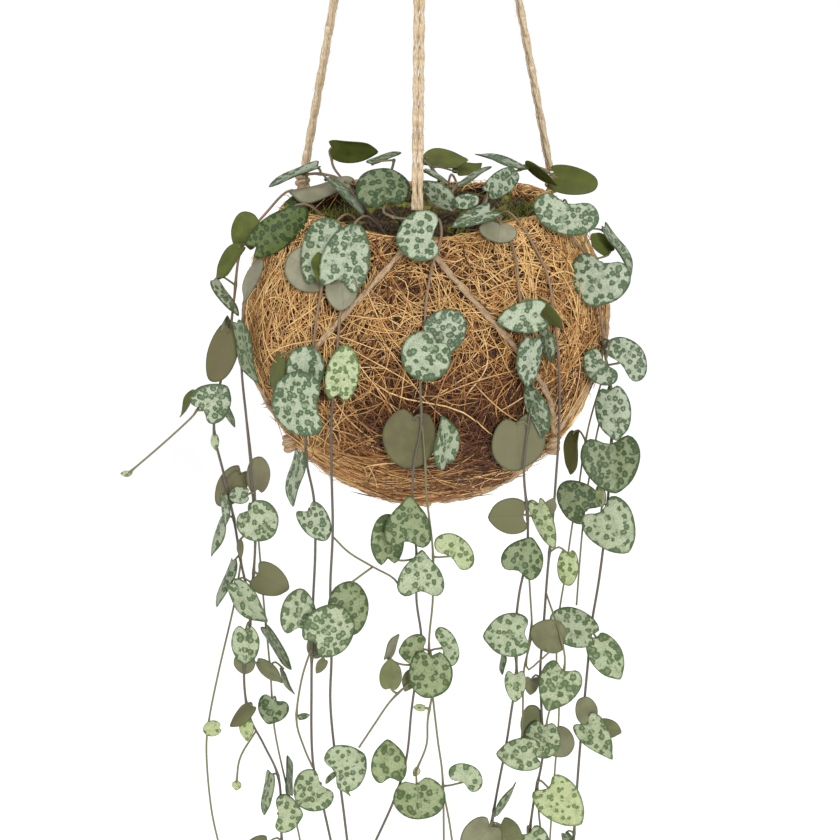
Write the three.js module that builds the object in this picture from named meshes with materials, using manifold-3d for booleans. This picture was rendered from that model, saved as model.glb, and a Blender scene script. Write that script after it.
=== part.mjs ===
// A trailing heart-leaved plant in a ball of coconut fibre, hung in a knotted jute hanger.
// Millimetres, +Z up, front towards -Y. The origin is the bearing point inside the top of the hanging loop.
import * as THREE from 'three';
import { mergeVertices } from 'three/addons/utils/BufferGeometryUtils.js';
import Module from 'manifold-3d';

const wasm = await Module();
wasm.setup();

// Driving dimensions of the ball
const BALL_RADIUS = 70.8;
const BALL_DROP = 350;
const RIM_HEIGHT = 46;
const WALL = 6;
const SOIL_TOP = 38;
const STEM_CLEAR = 5;
const BACK_LIFT = 6;

// Driving dimensions of the hanger
const STRAND = 2.4;
const KNOT_RISE = 50.5;
const KNOT_REACH = 58.5;
const TOP_KNOT_DROP = 32;
const LEG_SWING = -0.046;
const LOW_KNOT_DROP = 43;
const STRAND_SIDES = 7;
const LOOP_STEPS = 16;

// Driving dimensions of the plant
const STEM_RADIUS = 0.6;
const STALK_RADIUS = 0.45;
const BLADE_THICKNESS = 1.5;
const THIN_RADIUS = 0.45;
const STEM_STEP = 24;

// Drawing plane: it passes through the ball's centre and leans back, and the vines are laid out on it
const VIEW_LEAN = 15 * Math.PI / 180;
const VIEW_DISTANCE = 1200;
const VIEW_AIM = [-1.6, -40];

const COLOURS = {
  coir: 0xa9743f, soil: 0x2e2018, moss: 0x5d6a24, jute: 0xcfae7c, leaf: 0x8fb398,
};

function material(colour, roughness = 0.9) {
  return new THREE.MeshStandardMaterial({ color: colour, roughness, metalness: 0 });
}

// Seeded pseudo-random numbers from 0 to 1
function seeded(seed) {
  let state = seed >>> 0;
  return () => {
    state = (state + 0x6d2b79f5) >>> 0;
    let t = state;
    t = Math.imul(t ^ (t >>> 15), t | 1);
    t ^= t + Math.imul(t ^ (t >>> 7), t | 61);
    return ((t ^ (t >>> 14)) >>> 0) / 4294967296;
  };
}

function closedSolid(geometry) {
  const plain = geometry.clone();
  plain.deleteAttribute('normal');
  plain.deleteAttribute('uv');
  const merged = mergeVertices(plain, 1e-4);
  return new wasm.Manifold(new wasm.Mesh({
    numProp: 3,
    vertProperties: new Float32Array(merged.attributes.position.array),
    triVerts: new Uint32Array(merged.index.array),
  }));
}

function solidGeometry(solid) {
  const mesh = solid.getMesh();
  const geometry = new THREE.BufferGeometry();
  const places = new Float32Array(mesh.numVert * 3);
  for (let i = 0; i < mesh.numVert; i += 1) {
    for (let k = 0; k < 3; k += 1) {
      places[3 * i + k] = mesh.vertProperties[i * mesh.numProp + k];
    }
  }
  geometry.setAttribute('position', new THREE.BufferAttribute(places, 3));
  geometry.setIndex(new THREE.BufferAttribute(new Uint32Array(mesh.triVerts), 1));
  geometry.computeVertexNormals();
  return geometry;
}

function meshFrom(points, faces) {
  const geometry = new THREE.BufferGeometry();
  geometry.setAttribute('position', new THREE.BufferAttribute(new Float32Array(points.flat()), 3));
  geometry.setIndex(faces.flat());
  return geometry;
}

function named(name, geometry, mat) {
  const mesh = new THREE.Mesh(geometry, mat);
  mesh.name = name;
  return mesh;
}

function tube(points, radius, sides, steps) {
  const curve = new THREE.CatmullRomCurve3(points, false, 'catmullrom', 0.5);
  const section = new THREE.Shape();
  for (let i = 0; i < sides; i += 1) {
    const a = 2 * Math.PI * i / sides;
    if (i === 0) section.moveTo(radius * Math.cos(a), radius * Math.sin(a));
    else section.lineTo(radius * Math.cos(a), radius * Math.sin(a));
  }
  section.closePath();
  const geometry = new THREE.ExtrudeGeometry(section, { steps, bevelEnabled: false, extrudePath: curve });
  return geometry;
}

// Ball: the wrap's outer radius swells and sinks a little with azimuth and height
function wrapRadius(azimuth, z) {
  const high = THREE.MathUtils.clamp(z / RIM_HEIGHT, 0, 1);
  return BALL_RADIUS + 0.7 * Math.sin(3 * azimuth + 0.6) * (1 - 0.4 * high)
    + 0.5 * Math.sin(5 * azimuth + 2.1 + z * 0.05) + 0.8 * high * Math.cos(2 * azimuth);
}

// The rim rises in two humps, left and right of the front, and dips at the front and the back
function rimHeight(azimuth) {
  const front = Math.cos(azimuth + Math.PI / 2);
  return RIM_HEIGHT - 2.5 * Math.pow(Math.max(front, 0), 2) + 2.2 * Math.sin(2 * (azimuth + Math.PI / 2)) ** 2;
}

function ballPoint(azimuth, z, inset) {
  const r = wrapRadius(azimuth, z) - inset;
  const ring = Math.sqrt(Math.max(r * r - z * z, 0));
  return [ring * Math.cos(azimuth), ring * Math.sin(azimuth), z];
}

// A closed body from rings of points, from a bottom pole to a top pole
function ringBody(rings, bottom, top, around) {
  const points = [bottom, ...rings.flat(), top];
  const faces = [];
  const at = (ring, i) => 1 + ring * around + (i % around);
  for (let i = 0; i < around; i += 1) {
    faces.push([0, at(0, i + 1), at(0, i)]);
    for (let ring = 0; ring < rings.length - 1; ring += 1) {
      faces.push([at(ring, i), at(ring, i + 1), at(ring + 1, i + 1)]);
      faces.push([at(ring, i), at(ring + 1, i + 1), at(ring + 1, i)]);
    }
    faces.push([points.length - 1, at(rings.length - 1, i), at(rings.length - 1, i + 1)]);
  }
  return meshFrom(points, faces);
}

const WRAP_AROUND = 24;

function coirWrap() {
  const rings = [];
  const angles = Array.from({ length: WRAP_AROUND }, (_, i) => 2 * Math.PI * i / WRAP_AROUND);
  for (const lat of [-72, -54, -36, -18, 0, 17, 31]) {
    rings.push(angles.map((a) => ballPoint(a, BALL_RADIUS * Math.sin(lat * Math.PI / 180), 0)));
  }
  rings.push(angles.map((a) => ballPoint(a, rimHeight(a) - 2, 0.4)));
  rings.push(angles.map((a) => ballPoint(a, rimHeight(a), 3)));
  rings.push(angles.map((a) => ballPoint(a, rimHeight(a) - 2, WALL)));
  for (const lat of [31, 6, -20, -48]) {
    rings.push(angles.map((a) => ballPoint(a, (BALL_RADIUS - WALL) * Math.sin(lat * Math.PI / 180), WALL)));
  }
  return ringBody(rings, [0, 0, -BALL_RADIUS], [0, 0, -(BALL_RADIUS - WALL)], WRAP_AROUND);
}

function rootBall() {
  const rings = [];
  const angles = Array.from({ length: WRAP_AROUND }, (_, i) => 2 * Math.PI * i / WRAP_AROUND);
  for (const lat of [-56, -30, -6, 14]) {
    rings.push(angles.map((a) => ballPoint(a, (BALL_RADIUS - WALL) * Math.sin(lat * Math.PI / 180) * 0.97, WALL + 4.6)));
  }
  rings.push(angles.map((a) => ballPoint(a, SOIL_TOP - 6, WALL + 2.6)));
  return ringBody(rings, [0, 0, -(BALL_RADIUS - WALL - 4)], [0, 0, SOIL_TOP - 6], WRAP_AROUND);
}

// The moss cushion's height over the soil, a low dome with small swells
function mossHeight(x, y) {
  const r = Math.hypot(x, y);
  return SOIL_TOP + 3.5 * (1 - (r / 55) ** 2) + 1.2 * Math.sin(x * 0.16 + 1) * Math.cos(y * 0.19);
}

function mossTop(holes) {
  const around = 12;
  const angles = Array.from({ length: around }, (_, i) => 2 * Math.PI * i / around);
  const rings = [];
  const edge = (a, z, inset) => {
    const r = wrapRadius(a, z) - WALL - inset;
    return Math.sqrt(r * r - z * z);
  };
  rings.push(angles.map((a) => {
    const r = edge(a, SOIL_TOP + 1, 2);
    return [r * Math.cos(a), r * Math.sin(a), SOIL_TOP - 5.6];
  }));
  for (const share of [1, 0.55]) {
    rings.push(angles.map((a) => {
      const r = edge(a, SOIL_TOP + 1, 2) * share;
      const x = r * Math.cos(a);
      const y = r * Math.sin(a);
      return [x, y, mossHeight(x, y)];
    }));
  }
  let solid = closedSolid(ringBody(rings, [0, 0, SOIL_TOP - 5.6], [0, 0, mossHeight(0, 0)], around));
  for (const hole of holes) solid = solid.subtract(hole);
  return solidGeometry(solid);
}

// Hanger
function onBall(azimuthFromFront, z, lift) {
  const a = azimuthFromFront - Math.PI / 2;
  const r = wrapRadius(a, z) + lift;
  const ring = Math.sqrt(Math.max(r * r - z * z, 0));
  return new THREE.Vector3(ring * Math.cos(a), ring * Math.sin(a), z);
}

function byLatitude(azimuthFromFront, lat, lift) {
  const a = azimuthFromFront - Math.PI / 2;
  const r = wrapRadius(a, BALL_RADIUS * Math.sin(lat)) + lift;
  const ring = r * Math.cos(lat);
  return new THREE.Vector3(ring * Math.cos(a), ring * Math.sin(a), r * Math.sin(lat));
}

function knot(size, tall) {
  const profile = [];
  const steps = 5;
  for (let i = 0; i <= steps; i += 1) {
    const t = Math.PI * i / steps;
    const bulge = 1 + 0.12 * Math.sin(3 * t);
    profile.push(new THREE.Vector2(i === 0 || i === steps ? 0 : size * Math.sin(t) * bulge, -tall * Math.cos(t)));
  }
  const geometry = new THREE.LatheGeometry(profile, 8);
  geometry.rotateX(Math.PI / 2);
  return geometry;
}

const LEG_TURNS = [LEG_SWING, LEG_SWING + 2 * Math.PI / 3, LEG_SWING - 2 * Math.PI / 3];
const LEG_NAMES = ['front', 'right', 'left'];
const APEX = new THREE.Vector3(0, 0, BALL_DROP - TOP_KNOT_DROP);

function rimKnotPlace(turn) {
  const a = turn - Math.PI / 2;
  return new THREE.Vector3(KNOT_REACH * Math.cos(a), KNOT_REACH * Math.sin(a), KNOT_RISE);
}

function lowKnotPlace(turn) {
  return onBall(turn, -LOW_KNOT_DROP, 3.9);
}

function hanger(group) {
  const jute = material(COLOURS.jute, 0.95);
  const knotTall = 5;
  LEG_TURNS.forEach((turn, i) => {
    const rim = rimKnotPlace(turn);
    const name = LEG_NAMES[i];
    const down = rim.clone().sub(APEX).normalize();
    const side = new THREE.Vector3(Math.cos(turn), Math.sin(turn), 0);
    for (const hand of [-1, 1]) {
      const out = side.clone().multiplyScalar(hand * (STRAND / 2 + 0.25));
      const around = turn - Math.PI / 2 + hand * Math.PI / 6;
      const start = APEX.clone().add(new THREE.Vector3(2.95 * Math.cos(around), 2.95 * Math.sin(around), -7.5));
      const end = rim.clone().addScaledVector(down, -knotTall - 0.5).add(out);
      const mid = start.clone().lerp(end, 0.5);
      group.add(named(`leg_${name}_${hand < 0 ? 'a' : 'b'}`, tube([start, mid, end], STRAND / 2, STRAND_SIDES, 2), jute));
    }
    const rimKnot = named(`rim_knot_${name}`, knot(3.4, knotTall), jute);
    rimKnot.position.copy(rim);
    group.add(rimKnot);
    const lowTurn = turn + Math.PI / 3;
    const low = lowKnotPlace(lowTurn);
    const lowKnot = named(`low_knot_${name}`, knot(3.2, 4.6), jute);
    lowKnot.position.copy(low);
    group.add(lowKnot);
    for (const hand of [-1, 1]) {
      const points = [];
      const from = turn;
      for (let k = 0; k <= 6; k += 1) {
        const t = k / 6;
        const z = THREE.MathUtils.lerp(KNOT_RISE - 5.9, -LOW_KNOT_DROP + 6.2, t);
        const a = from + hand * THREE.MathUtils.lerp(0.028, Math.PI / 3 - 0.035, Math.pow(t, 0.92));
        points.push(onBall(a, z, STRAND / 2 + 0.55));
      }
      group.add(named(`net_cord_${name}_${hand < 0 ? 'a' : 'b'}`, tube(points, STRAND / 2, STRAND_SIDES, 7), jute));
    }
    for (const hand of [-1, 1]) {
      const points = [];
      for (let k = 0; k <= 4; k += 1) {
        const t = k / 4;
        const lat = THREE.MathUtils.lerp(-Math.asin(0.68), -1.468, t);
        const a = lowTurn + hand * THREE.MathUtils.lerp(0.032, 0.52, t * t);
        const lift = THREE.MathUtils.lerp(STRAND / 2 + 0.45, STRAND / 2 + 2.2, t ** 3);
        points.push(byLatitude(a, lat, lift));
      }
      group.add(named(`base_cord_${name}_${hand < 0 ? 'a' : 'b'}`, tube(points, STRAND / 2, STRAND_SIDES, 4), jute));
    }
  });
  const base = named('base_knot', knot(4.6, 3.2), jute);
  base.position.set(0, 0, -BALL_RADIUS - 3.6);
  group.add(base);
  const top = named('top_knot', knot(5, 8), jute);
  top.position.copy(APEX);
  group.add(top);
}

// The hanging loop is a drop-shaped ring of doubled strand above the top knot
function hangingLoop() {
  const r = 1.9;
  const foot = BALL_DROP - TOP_KNOT_DROP + 8.3 + r;
  const crest = BALL_DROP + r;
  const shape = [];
  for (let i = 0; i < LOOP_STEPS; i += 1) {
    const t = 2 * Math.PI * i / LOOP_STEPS;
    const rise = (1 - Math.cos(t)) / 2;
    shape.push([9.5 * Math.sin(t) * (0.7 + 0.3 * rise), foot + (crest - foot) * rise]);
  }
  const sides = 8;
  const points = [];
  shape.forEach(([x, z], i) => {
    const before = shape[(i + LOOP_STEPS - 1) % LOOP_STEPS];
    const after = shape[(i + 1) % LOOP_STEPS];
    const along = new THREE.Vector2(after[0] - before[0], after[1] - before[1]).normalize();
    for (let k = 0; k < sides; k += 1) {
      const a = 2 * Math.PI * k / sides;
      points.push([x + r * Math.cos(a) * along.y, r * Math.sin(a), z - r * Math.cos(a) * along.x]);
    }
  });
  const faces = [];
  for (let i = 0; i < LOOP_STEPS; i += 1) {
    for (let k = 0; k < sides; k += 1) {
      const a = i * sides + k;
      const b = i * sides + (k + 1) % sides;
      const c = ((i + 1) % LOOP_STEPS) * sides + (k + 1) % sides;
      const d = ((i + 1) % LOOP_STEPS) * sides + k;
      faces.push([a, b, c], [a, c, d]);
    }
  }
  return meshFrom(points, faces);
}

// Drawing plane to space: x to the right and u up on the plane, near is the distance towards the viewer
const RIGHT = new THREE.Vector3(1, 0, 0);
const UP = new THREE.Vector3(0, Math.sin(VIEW_LEAN), Math.cos(VIEW_LEAN));
const BACK = new THREE.Vector3(0, -Math.cos(VIEW_LEAN), Math.sin(VIEW_LEAN));
const EYE = new THREE.Vector3().addScaledVector(RIGHT, VIEW_AIM[0]).addScaledVector(UP, VIEW_AIM[1])
  .addScaledVector(BACK, VIEW_DISTANCE);

// How near the plant hangs: on the ball's skin above its waist, and on an upright line below it
function hangNear(x, u, hang) {
  const skin = Math.sqrt(Math.max((BALL_RADIUS + STEM_CLEAR) ** 2 - x * x - u * u, 0)) - STEM_CLEAR;
  const z = u * Math.cos(VIEW_LEAN) + skin * Math.sin(VIEW_LEAN);
  if (z >= 0) return skin;
  const share = Math.min(-z / 25, 1);
  const line = x + (hang - x) * share;
  const forward = Math.sqrt(Math.max(BALL_RADIUS ** 2 - line * line, 0));
  const below = (forward + u * Math.sin(VIEW_LEAN)) / Math.cos(VIEW_LEAN);
  return skin + (below - skin) * share;
}

function place(x, u, lift, hang) {
  const near = hangNear(x, u, hang) + lift;
  const onPlane = new THREE.Vector3().addScaledVector(RIGHT, x).addScaledVector(UP, u);
  const t = 1 - near / VIEW_DISTANCE;
  return EYE.clone().lerp(onPlane, t);
}

// A leaf blade's half outline: share of length from the notch to the tip, and share of width
const NOTCH = 0.1;
const HALF_OUTLINES = {
  h: [[-0.06, 0.24], [0.14, 0.48], [0.58, 0.4], [1, 0]],
  r: [[-0.03, 0.22], [0.18, 0.47], [0.7, 0.42], [1, 0]],
  k: [[-0.2, 0.36], [0.14, 0.5], [0.68, 0.37], [1, 0]],
  p: [[-0.06, 0.25], [0.12, 0.48], [0.52, 0.36], [1, 0]],
  v: [[0.02, 0.14], [0.28, 0.44], [0.66, 0.4], [1, 0]],
};

function bladeFrame(spec, centre) {
  const [x, u, , , , tip, roll, pitch, kind] = spec;
  const normal = BACK.clone();
  if (Math.hypot(x, u) < 68 && u > -52) {
    normal.lerp(centre.clone().normalize(), 0.7).normalize();
  }
  const a = tip * Math.PI / 180;
  let along = new THREE.Vector3().addScaledVector(RIGHT, Math.cos(a)).addScaledVector(UP, Math.sin(a));
  along.addScaledVector(normal, -along.dot(normal)).normalize();
  normal.applyAxisAngle(along, roll * Math.PI / 180);
  let side = new THREE.Vector3().crossVectors(normal, along).normalize();
  along.applyAxisAngle(side, pitch * Math.PI / 180);
  normal.applyAxisAngle(side, pitch * Math.PI / 180);
  if ('oub'.includes(kind[0])) {
    normal.negate();
    side.negate();
  }
  return { along, side, normal };
}

// A leaf is one closed body: a three-sided stalk that opens into a lens-shaped blade with a folded midrib
function leafBody(frame, centre, length, width, fold, stem, form = 'h') {
  const put = (share, out, height) => {
    const p = centre.clone().addScaledVector(frame.along, (share - 0.45) * length)
      .addScaledVector(frame.side, out * width)
      .addScaledVector(frame.normal, height + fold * Math.abs(out) * width);
    return [p.x, p.y, p.z];
  };
  const outline = HALF_OUTLINES[form];
  const rim = outline.map(([share, out]) => put(share, out, 0));
  outline.slice(0, -1).reverse().forEach(([share, out]) => rim.push(put(share, -out, 0)));
  const count = rim.length;
  const half = BLADE_THICKNESS / 2;
  const r = STALK_RADIUS;
  const points = [...rim, put(0.42, 0, half), put(0.42, 0, -half)];
  const neck = new THREE.Vector3(...put(NOTCH, 0, 0));
  const reach = stem.distanceTo(neck);
  const middle = neck.clone().lerp(stem, 0.4).addScaledVector(frame.along, -0.3 * reach - 0.6);
  middle.z += 0.1 * reach;
  const away = middle.clone().sub(neck).normalize();
  const onward = stem.clone().sub(middle).normalize();
  const corners = [[0, 1], [1, -0.6], [-1, -0.6]];
  const headings = [frame.along.clone().negate(), away.add(onward), onward.clone()];
  const right = frame.side.clone();
  const turn = new THREE.Quaternion();
  [neck, middle, stem].forEach((hub, k) => {
    const heading = headings[k].normalize();
    if (k > 0) right.applyQuaternion(turn.setFromUnitVectors(headings[k - 1], heading));
    const up = new THREE.Vector3().crossVectors(right, heading);
    for (const [out, rise] of corners) {
      const p = hub.clone().addScaledVector(right, r * out).addScaledVector(up, r * rise);
      points.push([p.x, p.y, p.z]);
    }
  });
  const top = count;
  const under = count + 1;
  const ring = (k) => [count + 2 + 3 * k, count + 3 + 3 * k, count + 4 + 3 * k];
  const [crest, plus, minus] = ring(0);
  const faces = [];
  for (let i = 0; i < count - 1; i += 1) faces.push([top, i + 1, i], [under, i, i + 1]);
  faces.push([top, 0, crest], [top, crest, count - 1]);
  faces.push([under, plus, 0], [under, minus, plus], [under, count - 1, minus]);
  faces.push([0, plus, crest], [count - 1, crest, minus]);
  for (let k = 0; k < 2; k += 1) {
    const here = ring(k);
    const next = ring(k + 1);
    for (let i = 0; i < 3; i += 1) {
      const j = (i + 1) % 3;
      faces.push([here[i], here[j], next[j]], [here[i], next[j], next[i]]);
    }
  }
  faces.push(ring(2));
  return meshFrom(points, faces);
}

// The nearest point to a place on the straight pieces of the stems
function nearestOn(lines, place) {
  let best = null;
  const found = new THREE.Vector3();
  for (const line of lines) {
    for (let i = 0; i < line.length - 1; i += 1) {
      new THREE.Line3(line[i], line[i + 1]).closestPointToPoint(place, true, found);
      const gap = found.distanceTo(place);
      if (best === null || gap < best.gap) best = { gap, at: found.clone() };
    }
  }
  return best.at;
}

const KIND_FOLD = { m: 0.22, d: 0.18, g: 0.3, y: 0.3, o: 0.12, u: 0.12, b: 0.15 };

function sprayRoot(first, reach) {
  const a = Math.atan2(first.y, first.x);
  const at = (r, z) => new THREE.Vector3(r * Math.cos(a), r * Math.sin(a), z);
  const deep = SOIL_TOP - 3;
  return [at(reach, deep), at(reach + 4, SOIL_TOP + 7), at(Math.max(reach + 14, 46.5), 52.5)];
}

// Joins solids into one and drops slivers much finer than a hair
function addAll(solids) {
  let all = solids[0];
  for (const solid of solids.slice(1)) all = all.add(solid);
  return all.simplify(0.04);
}

// A spray: rooted stems, side stems that leave another stem, and leaves on stalks
function spray(spec, holes) {
  const lines = [];
  const solids = [];
  let crown = null;
  for (const stem of spec.stems) {
    const points = stem.route.map(([x, u, lift]) => place(x, u, lift, spec.hang));
    if (stem.root !== undefined) {
      const start = sprayRoot(points[0], stem.root).slice(0, stem.short ? 2 : 3);
      crown = crown ?? start[0];
      start[0] = crown;
      points.unshift(...start);
    } else points[0] = nearestOn(lines, points[0]);
    const curve = new THREE.CatmullRomCurve3(points, false, 'catmullrom', 0.5);
    const steps = Math.max(stem.short ? 5 : 4, Math.round(curve.getLength() / STEM_STEP));
    lines.push(curve.getSpacedPoints(steps));
    const radius = stem.thin ? THIN_RADIUS : STEM_RADIUS;
    solids.push(closedSolid(tube(points, radius, 4, steps)));
    if (stem.root !== undefined) holes.push(closedSolid(tube(points, radius + 0.5, 4, steps)));
  }
  spec.leaves.forEach((leaf, i) => {
    const [x, u, lift, length, width, , , , kind] = leaf;
    const centre = place(x, u, lift, spec.hang);
    const frame = bladeFrame(leaf, centre);
    const neck = centre.clone().addScaledVector(frame.along, (NOTCH - 0.45) * length);
    const stem = nearestOn(lines, neck);
    stem.z += 0.06 * (i % 5);
    solids.push(closedSolid(leafBody(frame, centre, length, width, KIND_FOLD[kind[0]], stem, kind[1])));
  });
  const whole = addAll(solids).decompose().filter((piece) => piece.volume() > 0.01);
  return solidGeometry(addAll(whole));
}

// The unseen back carries short vines with leaves in pairs, placed by a rule with seeded variation
function backSpray(spec, holes) {
  const random = seeded(spec.seed);
  const outward = (turn) => new THREE.Vector3(Math.sin(turn), -Math.cos(turn), 0);
  const along = (z, lift) => {
    const turn = spec.turn + 0.05 * Math.sin(z * 0.06 + spec.seed);
    const ring = Math.sqrt(Math.max((BALL_RADIUS + lift) ** 2 - Math.max(z, 0) ** 2, 0));
    return outward(turn).multiplyScalar(ring).setZ(z);
  };
  const points = [];
  for (let z = 36; z > -spec.drop; z -= 21) points.push(along(z, BACK_LIFT));
  points.unshift(...sprayRoot(points[0], 34));
  const curve = new THREE.CatmullRomCurve3(points, false, 'catmullrom', 0.5);
  const steps = Math.max(4, Math.round(curve.getLength() / STEM_STEP));
  const lines = [curve.getSpacedPoints(steps)];
  const solids = [closedSolid(tube(points, STEM_RADIUS, 4, steps))];
  holes.push(closedSolid(tube(points, STEM_RADIUS + 0.5, 4, steps)));
  for (let z = 26; z > -spec.drop + 14; z -= 21) {
    for (const hand of [-1, 1]) {
      const length = 15 + 4 * random();
      const width = length * (0.85 + 0.15 * random());
      const centre = along(z - 3 * random(), BACK_LIFT + 4 + 3 * random());
      const out = centre.clone().setZ(Math.max(centre.z, 0)).normalize();
      const level = new THREE.Vector3(0, 0, 1).cross(out).normalize();
      centre.addScaledVector(level, hand * (9 + 2 * random()));
      const tip = new THREE.Vector3(0, 0, -0.8).addScaledVector(level, 0.6 * hand).addScaledVector(out, 0.2 * random());
      tip.addScaledVector(out, -0.8 * tip.dot(out)).normalize();
      const normal = out.clone().addScaledVector(level, hand * 0.25).addScaledVector(tip, 0);
      normal.addScaledVector(tip, -normal.dot(tip)).normalize();
      const side = new THREE.Vector3().crossVectors(normal, tip).normalize();
      const frame = { along: tip, side, normal };
      const neck = centre.clone().addScaledVector(tip, (NOTCH - 0.45) * length);
      solids.push(closedSolid(leafBody(frame, centre, length, width, 0.2, nearestOn(lines, neck))));
    }
  }
  const whole = addAll(solids).decompose().filter((piece) => piece.volume() > 0.01);
  return solidGeometry(addAll(whole));
}

const BACK_SPRAYS = [
  { name: 'spray_back_right', turn: 2.42, drop: 52, seed: 11 },
  { name: 'spray_back_mid_right', turn: 2.9, drop: 74, seed: 23 },
  { name: 'spray_back_mid_left', turn: 3.42, drop: 76, seed: 37 },
  { name: 'spray_back_left', turn: 3.88, drop: 50, seed: 53 },
];

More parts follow.
